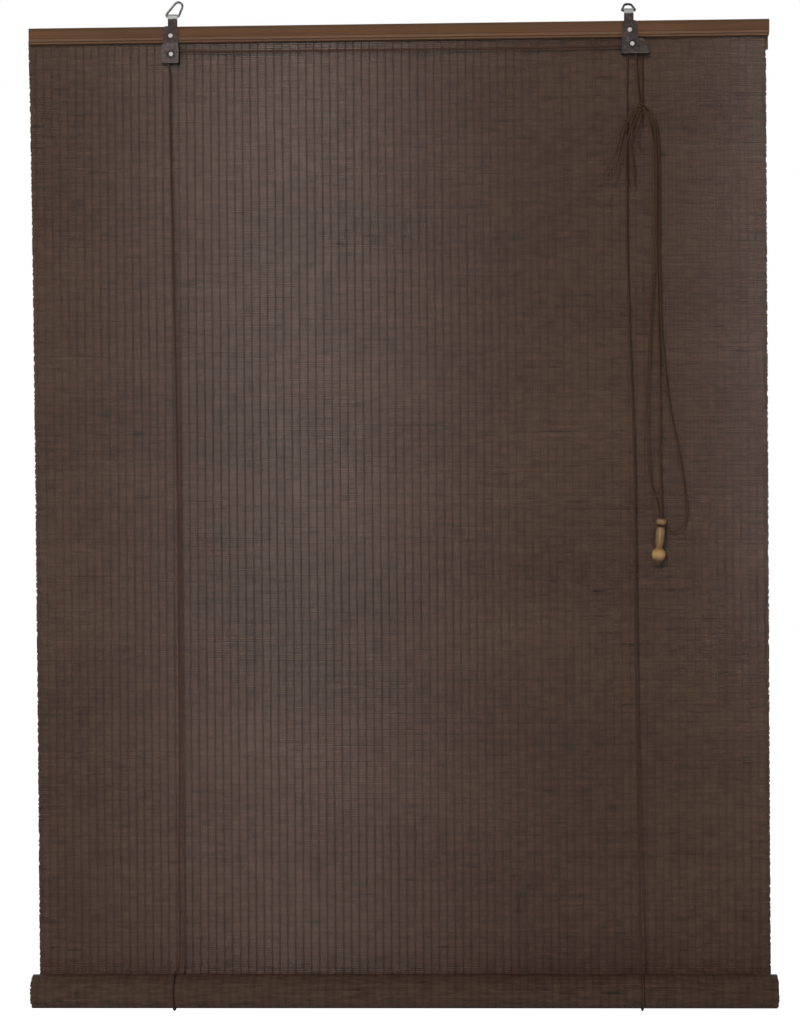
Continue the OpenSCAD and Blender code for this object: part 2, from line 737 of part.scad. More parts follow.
// Both cords from the lock down to the knot
front_pull_route = [
  [lock_axle_x + wrap_r, front_groove_y, lock_axle_z - cord_seat - seat_gap], [289.4, -9.2, -76], [290.5, -9.5, -101], [293, -9.5, -126.8]
];
rear_pull_route = [
  [lock_axle_x + roller_at[0] + guide_r, rear_groove_y, lock_axle_z + roller_at[1] - cord_seat - seat_gap],
  [296.6, -5.5, -76], [296.6, -6, -101], [296, -7.8, -126.8]
];
module pull_cord_front() {
  color("#4a2f22") tube(spline(front_pull_route, 1), cord_r, [0, 1, 0]);
}
module pull_cord_rear() {
  color("#4a2f22") tube(spline(rear_pull_route, 1), cord_r, [0, 1, 0]);
}

// The knot that ties the cords together, two turns pulled tight round a core
module pull_knot() {
  color("#43291d") translate(knot_at) rotate([0, 20, 0]) union() {
    sphere(knot_r * 0.9);
    for (z = [-1, 1]) translate([0, 0, z * cord_r]) rotate_extrude()
      translate([knot_r - cord_r * 0.9, 0]) circle(cord_r);
  }
}

module strand(route, r) {
  color("#4a2f22") tube(spline(route, 1), r, [0, 1, 0]);
}
knob_way = [-sin(knob_tilt), 0, -cos(knob_tilt)];

// The main strand goes on through the knob to the knot in its foot
module strand_main() {
  strand(concat(main_route, [knob_at, knob_at + knob_way * (knob_l - recess_h + 1)]), cord_r);
}
module strand_slack() {
  strand(slack_route, cord_r);
}
module strand_left() {
  strand(left_route, cord_r);
}
module tail(i) {
  strand(tail_routes[i], tail_d / 2);
}
module tail_1() {
  tail(0);
}
module tail_2() {
  tail(1);
}
module tail_3() {
  tail(2);
}
module tail_4() {
  tail(3);
}
module tail_5() {
  tail(4);
}

// Half the knob's outline: radius, and share of the knob's length below its top
knob_outline = [
  [bead_top_r * 0.7, 0], [bead_top_r * 0.95, 0.03], [bead_top_r, 0.076], [bead_top_r * 0.86, 0.13],
  [grip_r * 0.76, 0.163], [grip_r * 0.92, 0.2], [grip_r, 0.28], [grip_r * 1.04, 0.42], [grip_r * 0.93, 0.55],
  [grip_r * 0.74, 0.612], [grip_r * 0.85, 0.64], [bulb_r * 0.85, 0.7], [bulb_r, 0.785], [bulb_r * 0.85, 0.876],
  [bulb_r * 0.56, 0.947], [bulb_r * 0.45, 1]
];
recess_r = 2.7;
recess_h = 6.5;

// Turned wooden knob: a top bead, a waist, a long grip and a bulb, bored through and opened below for a knot
module knob() {
  side = spline([for (p = knob_outline) [p[0], -p[1] * knob_l]], 3);
  color("#a87b4a") translate(knob_at) rotate([0, knob_tilt, 0]) difference() {
    rotate_extrude($fn = 64) polygon(concat([[0, 0]], side, [[0, -knob_l]]));
    translate([0, 0, -knob_l - 1]) cylinder(r = knob_bore, h = knob_l + 2);
    translate([0, 0, -knob_l - 1]) cylinder(r = recess_r, h = recess_h + 1);
  }
}

// Knot in the knob's foot, which keeps the knob on its cord
module knob_knot() {
  color("#43291d") translate(knob_at + knob_way * (knob_l - recess_h + 3.6)) sphere(2.4);
}

front_batten();
back_batten();
batten_brads();
reed_mat();
rolled_mat();
roll_dowel();
left_plate();
right_plate();
rail_rivets();
rivet_washers();
left_ring();
right_ring();
left_housing();
left_wheel();
left_axle();
lock_housing();
lock_wheel();
lock_axle();
lock_roller();
left_front_cord();
left_cradle_cord();
left_back_cord();
right_front_cord();
right_cradle_cord();
right_back_cord();
cord_staples();
cross_cord();
lock_loop_cord();
pull_cord_front();
pull_cord_rear();
pull_knot();
strand_main();
strand_slack();
strand_left();
tail_1();
tail_2();
tail_3();
tail_4();
tail_5();
knob();
knob_knot();
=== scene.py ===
"""Roll-up blind of dark reeds: mat, roll, battens, stamped pulleys, cords and a turned knob."""

import math

import bmesh
import bpy
import numpy as np
from mathutils import Matrix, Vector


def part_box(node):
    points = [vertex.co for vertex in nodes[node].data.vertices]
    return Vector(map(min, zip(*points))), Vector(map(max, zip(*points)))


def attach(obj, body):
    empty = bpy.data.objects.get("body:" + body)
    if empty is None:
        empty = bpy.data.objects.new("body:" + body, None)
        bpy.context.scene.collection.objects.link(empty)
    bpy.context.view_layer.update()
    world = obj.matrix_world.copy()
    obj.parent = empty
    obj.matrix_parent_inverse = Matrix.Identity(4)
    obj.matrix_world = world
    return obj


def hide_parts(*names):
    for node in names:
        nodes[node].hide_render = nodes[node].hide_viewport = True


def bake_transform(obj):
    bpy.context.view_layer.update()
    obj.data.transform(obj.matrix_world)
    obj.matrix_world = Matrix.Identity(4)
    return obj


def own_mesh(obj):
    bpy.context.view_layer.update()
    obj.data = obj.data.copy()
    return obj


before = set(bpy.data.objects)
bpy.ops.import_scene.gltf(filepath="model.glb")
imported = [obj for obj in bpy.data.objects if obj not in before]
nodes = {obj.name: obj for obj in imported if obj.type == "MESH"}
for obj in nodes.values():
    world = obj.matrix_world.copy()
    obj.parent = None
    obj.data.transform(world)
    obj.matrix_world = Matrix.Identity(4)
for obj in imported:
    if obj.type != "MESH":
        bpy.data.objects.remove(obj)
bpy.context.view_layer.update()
scene = bpy.context.scene
scene.view_settings.view_transform = "Standard"

MM = 0.001
AXLE_L, AXLE_R = (-275.5, -62.0), (284.8, -56.4)  # x and z of the two wheels' axles, in mm
ROLL_AXIS = (-20.5, -1202.5)  # y and z of the roll's axis, in mm

# ---------------------------------------------------------------- camera

CAMERA_AT = (76.0, -2594.0, -601.1)  # in mm
CAMERA_TURN = (1.692, -0.448, -0.383)  # yaw, pitch and roll, in degrees
FOCAL, IMAGE_H, SENSOR = 2124.5, 1024, 36  # focal length and picture height in pixels, sensor in mm


def set_camera():
    """A pinhole camera at the photograph's place: 2.59 m in front of the mat, turned by small angles."""
    yaw, pitch, roll = (math.radians(a) for a in CAMERA_TURN)
    about_z = np.array([[math.cos(yaw), math.sin(yaw), 0], [-math.sin(yaw), math.cos(yaw), 0], [0, 0, 1]])
    about_x = np.array([[1, 0, 0], [0, math.cos(pitch), math.sin(pitch)], [0, -math.sin(pitch), math.cos(pitch)]])
    about_y = np.array([[math.cos(roll), 0, math.sin(roll)], [0, 1, 0], [-math.sin(roll), 0, math.cos(roll)]])
    right, forward, up = about_y @ about_x @ about_z
    data = bpy.data.cameras.new("camera")
    data.sensor_width = SENSOR
    data.lens = FOCAL / IMAGE_H * SENSOR
    data.clip_start, data.clip_end = 0.01, 100
    camera = bpy.data.objects.new("camera", data)
    scene.collection.objects.link(camera)
    place = np.eye(4)
    place[:3, 0], place[:3, 1], place[:3, 2] = right, up, -forward
    place[:3, 3] = [c * MM for c in CAMERA_AT]
    camera.matrix_world = Matrix(place.tolist())
    scene.camera = camera


# ---------------------------------------------------------------- shader tools


class Shader:
    """A node tree with short calls: add a node, link a socket, do sums."""

    def __init__(self, tree):
        self.tree = tree

    def node(self, kind, **values):
        made = self.tree.nodes.new(kind)
        for name, value in values.items():
            setattr(made, name, value)
        return made

    def plug(self, value, socket):
        if isinstance(value, bpy.types.NodeSocket):
            self.tree.links.new(value, socket)
        elif isinstance(value, (tuple, list)) and len(value) == 3 and socket.type == "RGBA":
            socket.default_value = (*value, 1)
        else:
            socket.default_value = value

    def sum(self, how, a, b=0.0, c=0.0, clamp=False):
        made = self.node("ShaderNodeMath", operation=how, use_clamp=clamp)
        for value, socket in zip((a, b, c), made.inputs):
            self.plug(value, socket)
        return made.outputs[0]

    def mix(self, share, a, b):
        made = self.node("ShaderNodeMix", data_type="RGBA", clamp_factor=True)
        self.plug(share, made.inputs[0])
        self.plug(a, made.inputs[6])
        self.plug(b, made.inputs[7])
        return made.outputs[2]

    def ramp(self, value, low, high, out_low=0.0, out_high=1.0):
        made = self.node("ShaderNodeMapRange", clamp=True)
        for given, socket in zip((value, low, high, out_low, out_high), made.inputs):
            self.plug(given, socket)
        return made.outputs[0]

    def place(self, scale=(1, 1, 1), shift=(0, 0, 0)):
        at = self.node("ShaderNodeTexCoord").outputs["Object"]
        made = self.node("ShaderNodeMapping")
        self.plug(at, made.inputs["Vector"])
        made.inputs["Scale"].default_value = scale
        made.inputs["Location"].default_value = shift
        return made.outputs[0]

    def noise(self, at, scale, detail=2.0, rough=0.5):
        made = self.node("ShaderNodeTexNoise")
        self.plug(at, made.inputs["Vector"])
        made.inputs["Scale"].default_value = scale
        made.inputs["Detail"].default_value = detail
        made.inputs["Roughness"].default_value = rough
        return made.outputs["Fac"]

    def axes(self, at):
        made = self.node("ShaderNodeSeparateXYZ")
        self.plug(at, made.inputs[0])
        return made.outputs

    def bump(self, height, distance):
        made = self.node("ShaderNodeBump")
        self.plug(height, made.inputs["Height"])
        made.inputs["Distance"].default_value = distance
        return made.outputs[0]

    def group(self, tree, **values):
        made = self.node("ShaderNodeGroup", node_tree=tree)
        for name, value in values.items():
            self.plug(value, made.inputs[name.replace("_", " ")])
        return made.outputs


def shader_group(name, inputs, outputs):
    """A node group with named inputs and outputs, returned with its own Shader and its two ends."""
    tree = bpy.data.node_groups.new(name, "ShaderNodeTree")
    for label, kind, value in inputs:
        socket = tree.interface.new_socket(name=label, in_out="INPUT", socket_type=kind)
        socket.default_value = value
    for label, kind in outputs:
        tree.interface.new_socket(name=label, in_out="OUTPUT", socket_type=kind)
    return tree, Shader(tree), tree.nodes.new("NodeGroupInput").outputs, tree.nodes.new("NodeGroupOutput").inputs


COLOUR, FLOAT = "NodeSocketColor", "NodeSocketFloat"


def wood_grain_group():
    """Long grain along X: noise stretched 28 times along the board, with finer pores and broad patches."""
    tree, s, given, out = shader_group(
        "wood grain",
        [("Dark", COLOUR, (0.1, 0.05, 0.02, 1)), ("Light", COLOUR, (0.2, 0.1, 0.05, 1))],
        [("Color", COLOUR), ("Height", FLOAT)],
    )
    broad = s.noise(s.place(scale=(1.6, 45, 45)), 2.2, 5.0, 0.6)
    fine = s.noise(s.place(scale=(9, 520, 520)), 1.0, 3.0, 0.65)
    patch = s.noise(s.place(scale=(5, 9, 9)), 1.0, 2.0)
    tone = s.sum("ADD", s.ramp(broad, 0.3, 0.7, 0.06, 0.56), s.ramp(fine, 0.3, 0.7, -0.07, 0.16))
    tone = s.sum("ADD", tone, s.ramp(patch, 0.3, 0.7, -0.12, 0.24), clamp=True)
    s.plug(s.mix(tone, given["Dark"], given["Light"]), out["Color"])
    s.plug(fine, out["Height"])
    return tree


def steel_skin_group():
    """Plated sheet steel: cloudy patches, small specks, a paler skin below one height, and a painted highlight above
    another.
    """
    tree, s, given, out = shader_group(
        "steel skin",
        [("Base", COLOUR, (0.1, 0.1, 0.1, 1)), ("Worn", COLOUR, (0.3, 0.3, 0.3, 1)),
         ("Bright", COLOUR, (0.6, 0.6, 0.6, 1)), ("Rough", FLOAT, 0.4), ("Crest", FLOAT, 1.0), ("Foot", FLOAT, -2.0)],
        [("Color", COLOUR), ("Roughness", FLOAT), ("Height", FLOAT)],
    )
    cloud = s.noise(s.place(), 260, 4.0, 0.6)
    speck = s.noise(s.place(), 1700, 2.0, 0.6)
    wear_and_highlight = s.sum("MULTIPLY", s.ramp(cloud, 0.46, 0.72), s.ramp(speck, 0.42, 0.62))
    z = s.axes(s.place())[2]
    below = s.ramp(s.sum("SUBTRACT", given["Foot"], z), -0.0004, 0.0014)
    foot = s.sum("MULTIPLY", below, s.ramp(cloud, 0.38, 0.62, 0.12, 0.62))
    skin = s.mix(s.sum("MAXIMUM", wear_and_highlight, foot), given["Base"], given["Worn"])
    # Painted highlight: above the given height the skin turns to a pale colour, standing for the light on a rolled
    # barrel.
    above = s.sum("ADD", s.sum("SUBTRACT", z, given["Crest"]), s.ramp(cloud, 0.3, 0.7, -0.0006, 0.0006))
    highlight_crest = s.ramp(above, -0.0006, 0.001)
    s.plug(s.mix(highlight_crest, skin, given["Bright"]), out["Color"])
    s.plug(s.sum("ADD", given["Rough"], s.ramp(cloud, 0.3, 0.7, -0.08, 0.1)), out["Roughness"])
    s.plug(speck, out["Height"])
    return tree


def braid_group():
    """Braided cord on the piece's own map: two sets of plaits wind opposite ways round the cord."""
    tree, s, given, out = shader_group(
        "braid", [("Dark", COLOUR, (0.05, 0.02, 0.01, 1)), ("Light", COLOUR, (0.12, 0.06, 0.04, 1))],
        [("Color", COLOUR), ("Height", FLOAT)],
    )
    uv = s.axes(s.node("ShaderNodeUVMap", uv_map="length").outputs[0])
    around = s.sum("MULTIPLY", uv[0], 4 * math.tau)
    along = s.sum("MULTIPLY", uv[1], math.tau / 0.0026)
    one = s.sum("SINE", s.sum("ADD", around, along))
    two = s.sum("SINE", s.sum("SUBTRACT", around, along))
    over = s.sum("MAXIMUM", one, two)
    height = s.ramp(over, -0.6, 1.0)
    fuzz = s.noise(s.place(), 900, 3.0, 0.7)
    share = s.sum("ADD", s.sum("MULTIPLY", height, 0.6), s.ramp(fuzz, 0.3, 0.7, -0.1, 0.4), clamp=True)
    s.plug(s.mix(share, given["Dark"], given["Light"]), out["Color"])
    s.plug(s.sum("ADD", height, s.sum("MULTIPLY", fuzz, 0.3)), out["Height"])
    return tree


def warp_thread_group():
    """Warp threads every 9.74 mm, each stepping from side to side of its line from one reed to the next, and painted
    shading for the soft wave of the reeds between them: it is 0 (shaded) at a thread and 1 (lit) half way to the next,
    on a cosine."""
    tree, s, given, out = shader_group(
        "warp threads", [("Pitch", FLOAT, 0.00974), ("Width", FLOAT, 0.0009)], [("Mask", FLOAT), ("Wave", FLOAT)]
    )
    at = s.axes(s.place())
    row = s.node("ShaderNodeAttribute", attribute_name="row").outputs["Fac"]
    step = s.sum("MULTIPLY", s.sum("SINE", s.sum("MULTIPLY", row, math.pi * 0.93)), 0.0003)
    drift = s.sum("MULTIPLY", s.sum("SUBTRACT", s.noise(s.place(scale=(14, 1, 3)), 1.0, 2.0), 0.5), 0.003)
    x = s.sum("ADD", at[0], drift)
    off = s.sum("SUBTRACT", s.sum("FRACT", s.sum("DIVIDE", s.sum("ADD", x, step), given["Pitch"])), 0.5)
    far = s.sum("MULTIPLY", s.sum("ABSOLUTE", off), given["Pitch"])
    s.plug(s.ramp(s.sum("DIVIDE", far, s.sum("MULTIPLY", given["Width"], 0.5)), 0.5, 2.0, 1.0, 0.0), out["Mask"])
    # The painted shading's cosine across each thread pitch.
    turn = s.sum("MULTIPLY", s.sum("DIVIDE", x, given["Pitch"]), math.tau)
    s.plug(s.sum("MULTIPLY_ADD", s.sum("COSINE", turn), 0.5, 0.5), out["Wave"])
    return tree


GRAIN, SKIN, BRAID, THREADS = wood_grain_group(), steel_skin_group(), braid_group(), warp_thread_group()


def material(name, build, metallic=0.0, coat=0.0, specular=0.5):
    """A Principled material whose changing values come from build(shader)."""
    made = bpy.data.materials.new(name)
    made.use_nodes = True
    tree = made.node_tree
    tree.nodes.clear()
    s = Shader(tree)
    skin = s.node("ShaderNodeBsdfPrincipled")
    skin.inputs["Metallic"].default_value = metallic
    skin.inputs["Coat Weight"].default_value = coat
    skin.inputs["Coat Roughness"].default_value = 0.18
    skin.inputs["Specular IOR Level"].default_value = specular
    out = s.node("ShaderNodeOutputMaterial")
    tree.links.new(skin.outputs[0], out.inputs["Surface"])
    for socket, value in build(s).items():
        s.plug(value, skin.inputs[socket])
    return made


def wood(dark, light, rough, board=None):
    """Stained wood. A board, by its (foot, top) in z, has a painted highlight along its foot and painted shade along
    its top.
    """

    def build(s):
        grain = s.group(GRAIN, Dark=(*dark, 1), Light=(*light, 1))
        colour = grain["Color"]
        if board:
            z = s.axes(s.place())[2]
            foot, top = board
            # Painted highlight: a paler strip along the board's foot.
            colour = s.mix(s.ramp(z, foot + 0.0045, foot + 0.0075, 0.3, 0.0), colour, (0.22, 0.13, 0.083))
            # Painted shade: a darker strip along the board's top.
            colour = s.mix(s.ramp(z, top - 0.0055, top - 0.003, 0.0, 0.35), colour, (0.06, 0.035, 0.02))
        return {
            "Base Color": colour,
            "Roughness": s.ramp(grain["Height"], 0.3, 0.7, rough + 0.06, rough - 0.05),
            "Normal": s.bump(grain["Height"], 0.00012),
        }

    return build


def turned_wood(dark, light, stain_and_shade, rough):
    """Varnished wood with its grain along Z; the groove attribute mixes in a dark colour, for staining and for painted
    shade and highlights.
    """

    def build(s):
        grain = s.noise(s.place(scale=(640, 640, 30)), 1.0, 4.0, 0.6)
        groove = s.node("ShaderNodeAttribute", attribute_name="groove").outputs["Fac"]
        edge = s.sum("ADD", groove, s.ramp(grain, 0.3, 0.7, -0.12, 0.12), clamp=True)
        return {
            # The groove value mixes in the dark colour: staining, painted shade and painted highlights.
            "Base Color": s.mix(edge, s.mix(s.ramp(grain, 0.3, 0.7, 0.15, 0.9), dark, light), stain_and_shade),
            "Roughness": s.ramp(grain, 0.3, 0.7, rough + 0.05, rough - 0.04),
            "Normal": s.bump(grain, 0.00004),
        }

    return build


def steel(base, wear_and_highlight, rough, bright=(0.6, 0.6, 0.58), highlight_crest=1.0, foot=-2.0, rivet=None):
    """Plated steel; painted shade darkens it in a ragged patch round the rivet at (x, z)."""

    def build(s):
        skin = s.group(SKIN, Base=(*base, 1), Worn=(*wear_and_highlight, 1), Bright=(*bright, 1), Rough=rough, Crest=highlight_crest, Foot=foot)
        colour = skin["Color"]
        if rivet:
            at = s.axes(s.place(shift=(-rivet[0] * MM, 0, -rivet[1] * MM)))
            far = s.sum("SQRT", s.sum("MULTIPLY_ADD", at[0], at[0], s.sum("MULTIPLY", at[2], at[2])))
            far = s.sum("ADD", far, s.ramp(s.noise(s.place(), 330, 2.0), 0.3, 0.7, -0.0016, 0.0016))
            # Painted shade: a dark ragged patch out to about 6.6 mm round the rivet.
            colour = s.mix(s.ramp(far, 0.0038, 0.0066, 0.8, 0.0), colour, (0.012, 0.01, 0.01))
        return {"Base Color": colour, "Roughness": skin["Roughness"], "Normal": s.bump(skin["Height"], 0.00003)}

    return build


def braid(dark, light):
    """Braided cord, matt, with its plaits raised."""

    def build(s):
        plait = s.group(BRAID, Dark=(*dark, 1), Light=(*light, 1))
        return {"Base Color": plait["Color"], "Roughness": 0.8, "Normal": s.bump(plait["Height"], 0.00018)}

    return build


def reeds(dark, light, thread, share, rough):
    """Reeds: a tone for each, short streaks that run over two or three of them, a few dark dashes of painted shade, and
    warp threads that lie in the dark part of soft bands of painted shading."""

    def build(s):
        tone = s.node("ShaderNodeAttribute", attribute_name="tone").outputs["Fac"]
        row = s.node("ShaderNodeAttribute", attribute_name="row").outputs["Fac"]
        at = s.axes(s.place())
        spot = s.node("ShaderNodeCombineXYZ")
        s.plug(s.sum("MULTIPLY", at[0], 52), spot.inputs[0])
        s.plug(s.sum("MULTIPLY", row, 0.46), spot.inputs[1])
        streak = s.noise(spot.outputs[0], 1.0, 2.0, 0.5)
        # Dark dashes: painted shade where gaps between reeds fall in shadow.
        mark = s.node("ShaderNodeCombineXYZ")
        s.plug(s.sum("MULTIPLY", at[0], 30), mark.inputs[0])
        s.plug(s.sum("MULTIPLY_ADD", row, 0.5, 40.0), mark.inputs[1])
        dash = s.noise(mark.outputs[0], 1.0, 1.0, 0.5)
        fibre = s.noise(s.place(scale=(60, 2600, 2600)), 1.0, 3.0, 0.6)
        cloud = s.noise(s.place(scale=(3.0, 3.0, 9.0)), 1.0, 2.0)
        warp = s.group(THREADS)
        value = s.sum("MULTIPLY_ADD", tone, 0.1, 0.45)
        value = s.sum("ADD", value, s.ramp(streak, 0.3, 0.7, -0.18, 0.18))
        value = s.sum("ADD", value, s.ramp(dash, 0.27, 0.38, -0.22, 0.0))
        value = s.sum("ADD", value, s.ramp(fibre, 0.3, 0.7, -0.06, 0.06))
        value = s.sum("ADD", value, s.ramp(cloud, 0.3, 0.7, -0.09, 0.09))
        # Painted shading: lighter half way between warp threads and darker at them, for the reeds' soft wave.
        value = s.sum("MULTIPLY_ADD", s.sum("SUBTRACT", warp["Wave"], 0.5), share, value, clamp=True)
        colour = s.mix(s.sum("MULTIPLY", warp["Mask"], 0.18), s.mix(value, dark, light), thread)
        height = s.sum("ADD", s.sum("MULTIPLY", warp["Mask"], 0.6), s.sum("MULTIPLY", fibre, 0.2))
        rough_at = s.ramp(streak, 0.3, 0.7, rough + 0.03, rough - 0.03)
        rough_at = s.sum("ADD", rough_at, s.sum("MULTIPLY", warp["Mask"], 0.08))
        return {"Base Color": colour, "Roughness": rough_at, "Normal": s.bump(height, 0.0002)}

    return build


RAIL_FOOT, RAIL_TOP = (float(c[2]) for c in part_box("front_batten"))
# The rail's wood carries a painted highlight along its foot and painted shade along its top.
RAIL_WOOD = material(
    "rail wood", wood((0.072, 0.033, 0.0145), (0.146, 0.069, 0.0315), 0.6, board=(RAIL_FOOT, RAIL_TOP)), specular=0.25)
BATTEN_WOOD = material("batten wood", wood((0.05, 0.025, 0.012), (0.15, 0.076, 0.038), 0.62), specular=0.3)
DOWEL_WOOD = material("dowel wood", wood((0.16, 0.085, 0.04), (0.36, 0.22, 0.12), 0.6))
KNOB_WOOD = material(
    "knob wood", turned_wood((0.25, 0.132, 0.045), (0.5, 0.31, 0.132), (0.022, 0.009, 0.003), 0.36), coat=0.8)
REED = material("reeds", reeds((0.02, 0.012, 0.009), (0.118, 0.069, 0.048), (0.02, 0.011, 0.008), 0.13, 0.24))
ROLLED_REED = material(
    "rolled reeds", reeds((0.02, 0.011, 0.007), (0.105, 0.06, 0.04), (0.02, 0.011, 0.008), 0.1, 0.5), specular=0.3)
# The plate and the lock have a painted highlight on their rolled barrels, above z = -19.5 mm.
PLATE_STEEL = material("plate steel", steel(
    (0.052, 0.033, 0.03), (0.215, 0.17, 0.155), 0.4, highlight_crest=-0.0195, foot=-0.0475, rivet=AXLE_L), metallic=0.6)
LOCK_STEEL = material("lock steel", steel(
    (0.066, 0.049, 0.044), (0.29, 0.24, 0.22), 0.4, highlight_crest=-0.0195, foot=-0.0655, rivet=AXLE_R), metallic=0.6)
BOX_STEEL = material("box steel", steel((0.06, 0.055, 0.052), (0.2, 0.19, 0.18), 0.4), metallic=0.9)
WHEEL_STEEL = material("wheel steel", steel((0.11, 0.1, 0.09), (0.26, 0.24, 0.22), 0.4), metallic=0.9)
BRIGHT_STEEL = material("bright steel", steel((0.8, 0.74, 0.71), (0.9, 0.85, 0.82), 0.34), metallic=0.35)
RING_STEEL = material("galvanised wire", steel((0.4, 0.4, 0.38), (0.6, 0.6, 0.58), 0.42), metallic=1.0)
# The same galvanised wire, darker: painted shade on the right ring.
SHADED_RING_STEEL = material("galvanised wire in painted shade", steel((0.15, 0.15, 0.145), (0.3, 0.3, 0.29), 0.45), metallic=1.0)
CORD = material("cord", braid((0.024, 0.011, 0.007), (0.085, 0.046, 0.03)), specular=0.3)
PULL_CORD = material("pull cord", braid((0.026, 0.012, 0.006), (0.092, 0.049, 0.028)), specular=0.3)

# ---------------------------------------------------------------- mesh tools


def add_mesh(name, points, faces, finish, slot, uv=None, corner_uv=None, **attributes):
    """A mesh object from arrays of points and of four-cornered faces, with its map and its per-point values.
    uv gives the map by point, in turns and metres of a cord; corner_uv by face corner, in the unit square."""
    mesh = bpy.data.meshes.new(name)
    points = np.asarray(points, np.float32).reshape(-1, 3)
    faces = np.asarray(faces, np.int32)
    mesh.vertices.add(len(points))
    mesh.vertices.foreach_set("co", points.ravel())
    mesh.loops.add(faces.size)
    mesh.loops.foreach_set("vertex_index", faces.ravel())
    mesh.polygons.add(len(faces))
    mesh.polygons.foreach_set("loop_start", np.arange(len(faces), dtype=np.int32) * faces.shape[1])
    mesh.polygons.foreach_set("use_smooth", np.ones(len(faces), bool))
    for label, values in attributes.items():
        layer = mesh.attributes.new(label, "FLOAT", "POINT")
        layer.data.foreach_set("value", np.asarray(values, np.float32).ravel())
    if uv is not None:
        corner_uv = np.asarray(uv, np.float32).reshape(-1, 2)[faces.ravel()]
    if corner_uv is not None:
        layer = mesh.uv_layers.new(name="length" if uv is not None else "OFBake")
        layer.uv.foreach_set("vector", np.asarray(corner_uv, np.float32).ravel())
    mesh.update(calc_edges=True)
    mesh.validate()
    mesh.materials.append(finish)
    made = bpy.data.objects.new(name, mesh)
    scene.collection.objects.link(made)
    return made


def hermite(route, steps=8):
    """A smooth line through the points of a route, which passes each along the bisector of the turn there."""
    p = np.asarray(route, float)
    way = np.diff(p, axis=0)
    far = np.linalg.norm(way, axis=1, keepdims=True)
    unit = way / far
    turn = np.vstack([unit[:1], unit[:-1] + unit[1:], unit[-1:]])
    turn /= np.linalg.norm(turn, axis=1, keepdims=True)
    t = (np.arange(steps) / steps)[None, :, None]
    a, b, m, n = p[:-1, None], p[1:, None], (turn[:-1] * far)[:, None], (turn[1:] * far)[:, None]
    line = (2 * t**3 - 3 * t**2 + 1) * a + (3 * t**2 - 2 * t**3) * b + (t**3 - 2 * t**2 + t) * m + (t**3 - t**2) * n
    return np.vstack([line.reshape(-1, 3), p[-1:]])


def even(line, gap):
    """The same line with its points about gap apart along it."""
    along = np.concatenate([[0], np.cumsum(np.linalg.norm(np.diff(line, axis=0), axis=1))])
    count = max(int(round(along[-1] / gap)), 4)
    at = np.linspace(0, along[-1], count + 1)
    return np.stack([np.interp(at, along, line[:, k]) for k in range(3)], 1)


DOME_R, DOME_OUT = np.array([0.05, 0.6]), np.array([0.35, 0.3])  # a dome's two rings, tip first, in radii


def tube(name, line, radius, finish, sides=12):
    """A round tube along a line, on frames that turn as little as they can, closed by a small dome at each end."""
    line = np.asarray(line, float)
    count = len(line)
    way = np.gradient(line, axis=0)
    way /= np.linalg.norm(way, axis=1, keepdims=True)
    side = np.cross(way[0], [0.31, 0.95, 0.05])
    sides_at = []
    for k in range(count):
        side = side - way[k] * (side @ way[k])
        side = side / np.linalg.norm(side)
        sides_at.append(side)
    u = np.array(sides_at)
    v = np.cross(way, u)
    along = np.concatenate([[0], np.cumsum(np.linalg.norm(np.diff(line, axis=0), axis=1))])
    at = np.concatenate([[0, 0], np.arange(count), [count - 1, count - 1]])
    r = np.concatenate([DOME_R, np.ones(count), DOME_R[::-1]]) * radius
    push = np.concatenate([-DOME_OUT, np.zeros(count), DOME_OUT[::-1]]) * radius
    centre = line[at] + way[at] * push[:, None]
    angle = np.linspace(0, math.tau, sides + 1)
    ring = u[at][:, None] * np.cos(angle)[None, :, None] + v[at][:, None] * np.sin(angle)[None, :, None]
    points = centre[:, None] + ring * r[:, None, None]
    rows, columns = points.shape[:2]
    uv = np.stack(np.broadcast_arrays((angle / math.tau)[None, :], along[at][:, None]), -1)
    index = np.arange(rows * columns).reshape(rows, columns)
    faces = np.stack([index[:-1, :-1], index[:-1, 1:], index[1:, 1:], index[1:, :-1]], -1).reshape(-1, 4)
    ends = np.array([index[0, :-1][::-1], index[-1, :-1]])
    made = add_mesh(name, points, faces, finish, "cord", uv)
    close_ends(made, ends)
    return made


def close_ends(made, ends):
    """Welds the tube's long seam and fills the two end rings."""
    work = bmesh.new()
    work.from_mesh(made.data)
    work.verts.ensure_lookup_table()
    for ring in ends:
        work.faces.new([work.verts[int(k)] for k in ring])
    bmesh.ops.remove_doubles(work, verts=work.verts, dist=1e-6)
    bmesh.ops.recalc_face_normals(work, faces=work.faces)
    work.to_mesh(made.data)
    work.free()


# ---------------------------------------------------------------- reed mat and roll

mat_low, mat_high = (np.array(c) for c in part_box("reed_mat"))
roll_low, roll_high = (np.array(c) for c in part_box("rolled_mat"))
MAT_TOP, MAT_FOOT = float(mat_high[2]), float(mat_low[2])
MAT_W, MAT_T = float(mat_high[0] - mat_low[0]), 2 * MM
ROLL_R = 21.5 * MM
ROLL_Y, ROLL_Z = (c * MM for c in ROLL_AXIS)
ROLL_W = float(roll_high[0] - roll_low[0])
RIDGES = int((MAT_TOP - MAT_FOOT) / (6.5 * MM))
REEDS = 3 * RIDGES
GAP_ROWS, GAP_COLUMNS, GAP_W, GAP_H = 14, 8, 60 * MM, 0.02 * MM
GAP_EDGE = 1.045  # share of half a pitch that the reeds beside a row of gaps reach
RUN_OUT, RUN_OUT_FADE = 5.2 * MM, 320 * MM  # of the mat's left edge at the rail, and the depth that fades it
ROLL_PITCH, ROLL_TURNS, TURN_STEP = 2.17 * MM, 4, 2.3 * MM
COLUMNS = 33  # places along a reed
# A reed's eight corners: shares of its half height along the mat, and of its half thickness
RIM = np.array([[1, 0.6], [0.5, 1], [-0.5, 1], [-1, 0.6], [-1, -0.6], [-0.5, -1], [0.5, -1], [1, -0.6]])


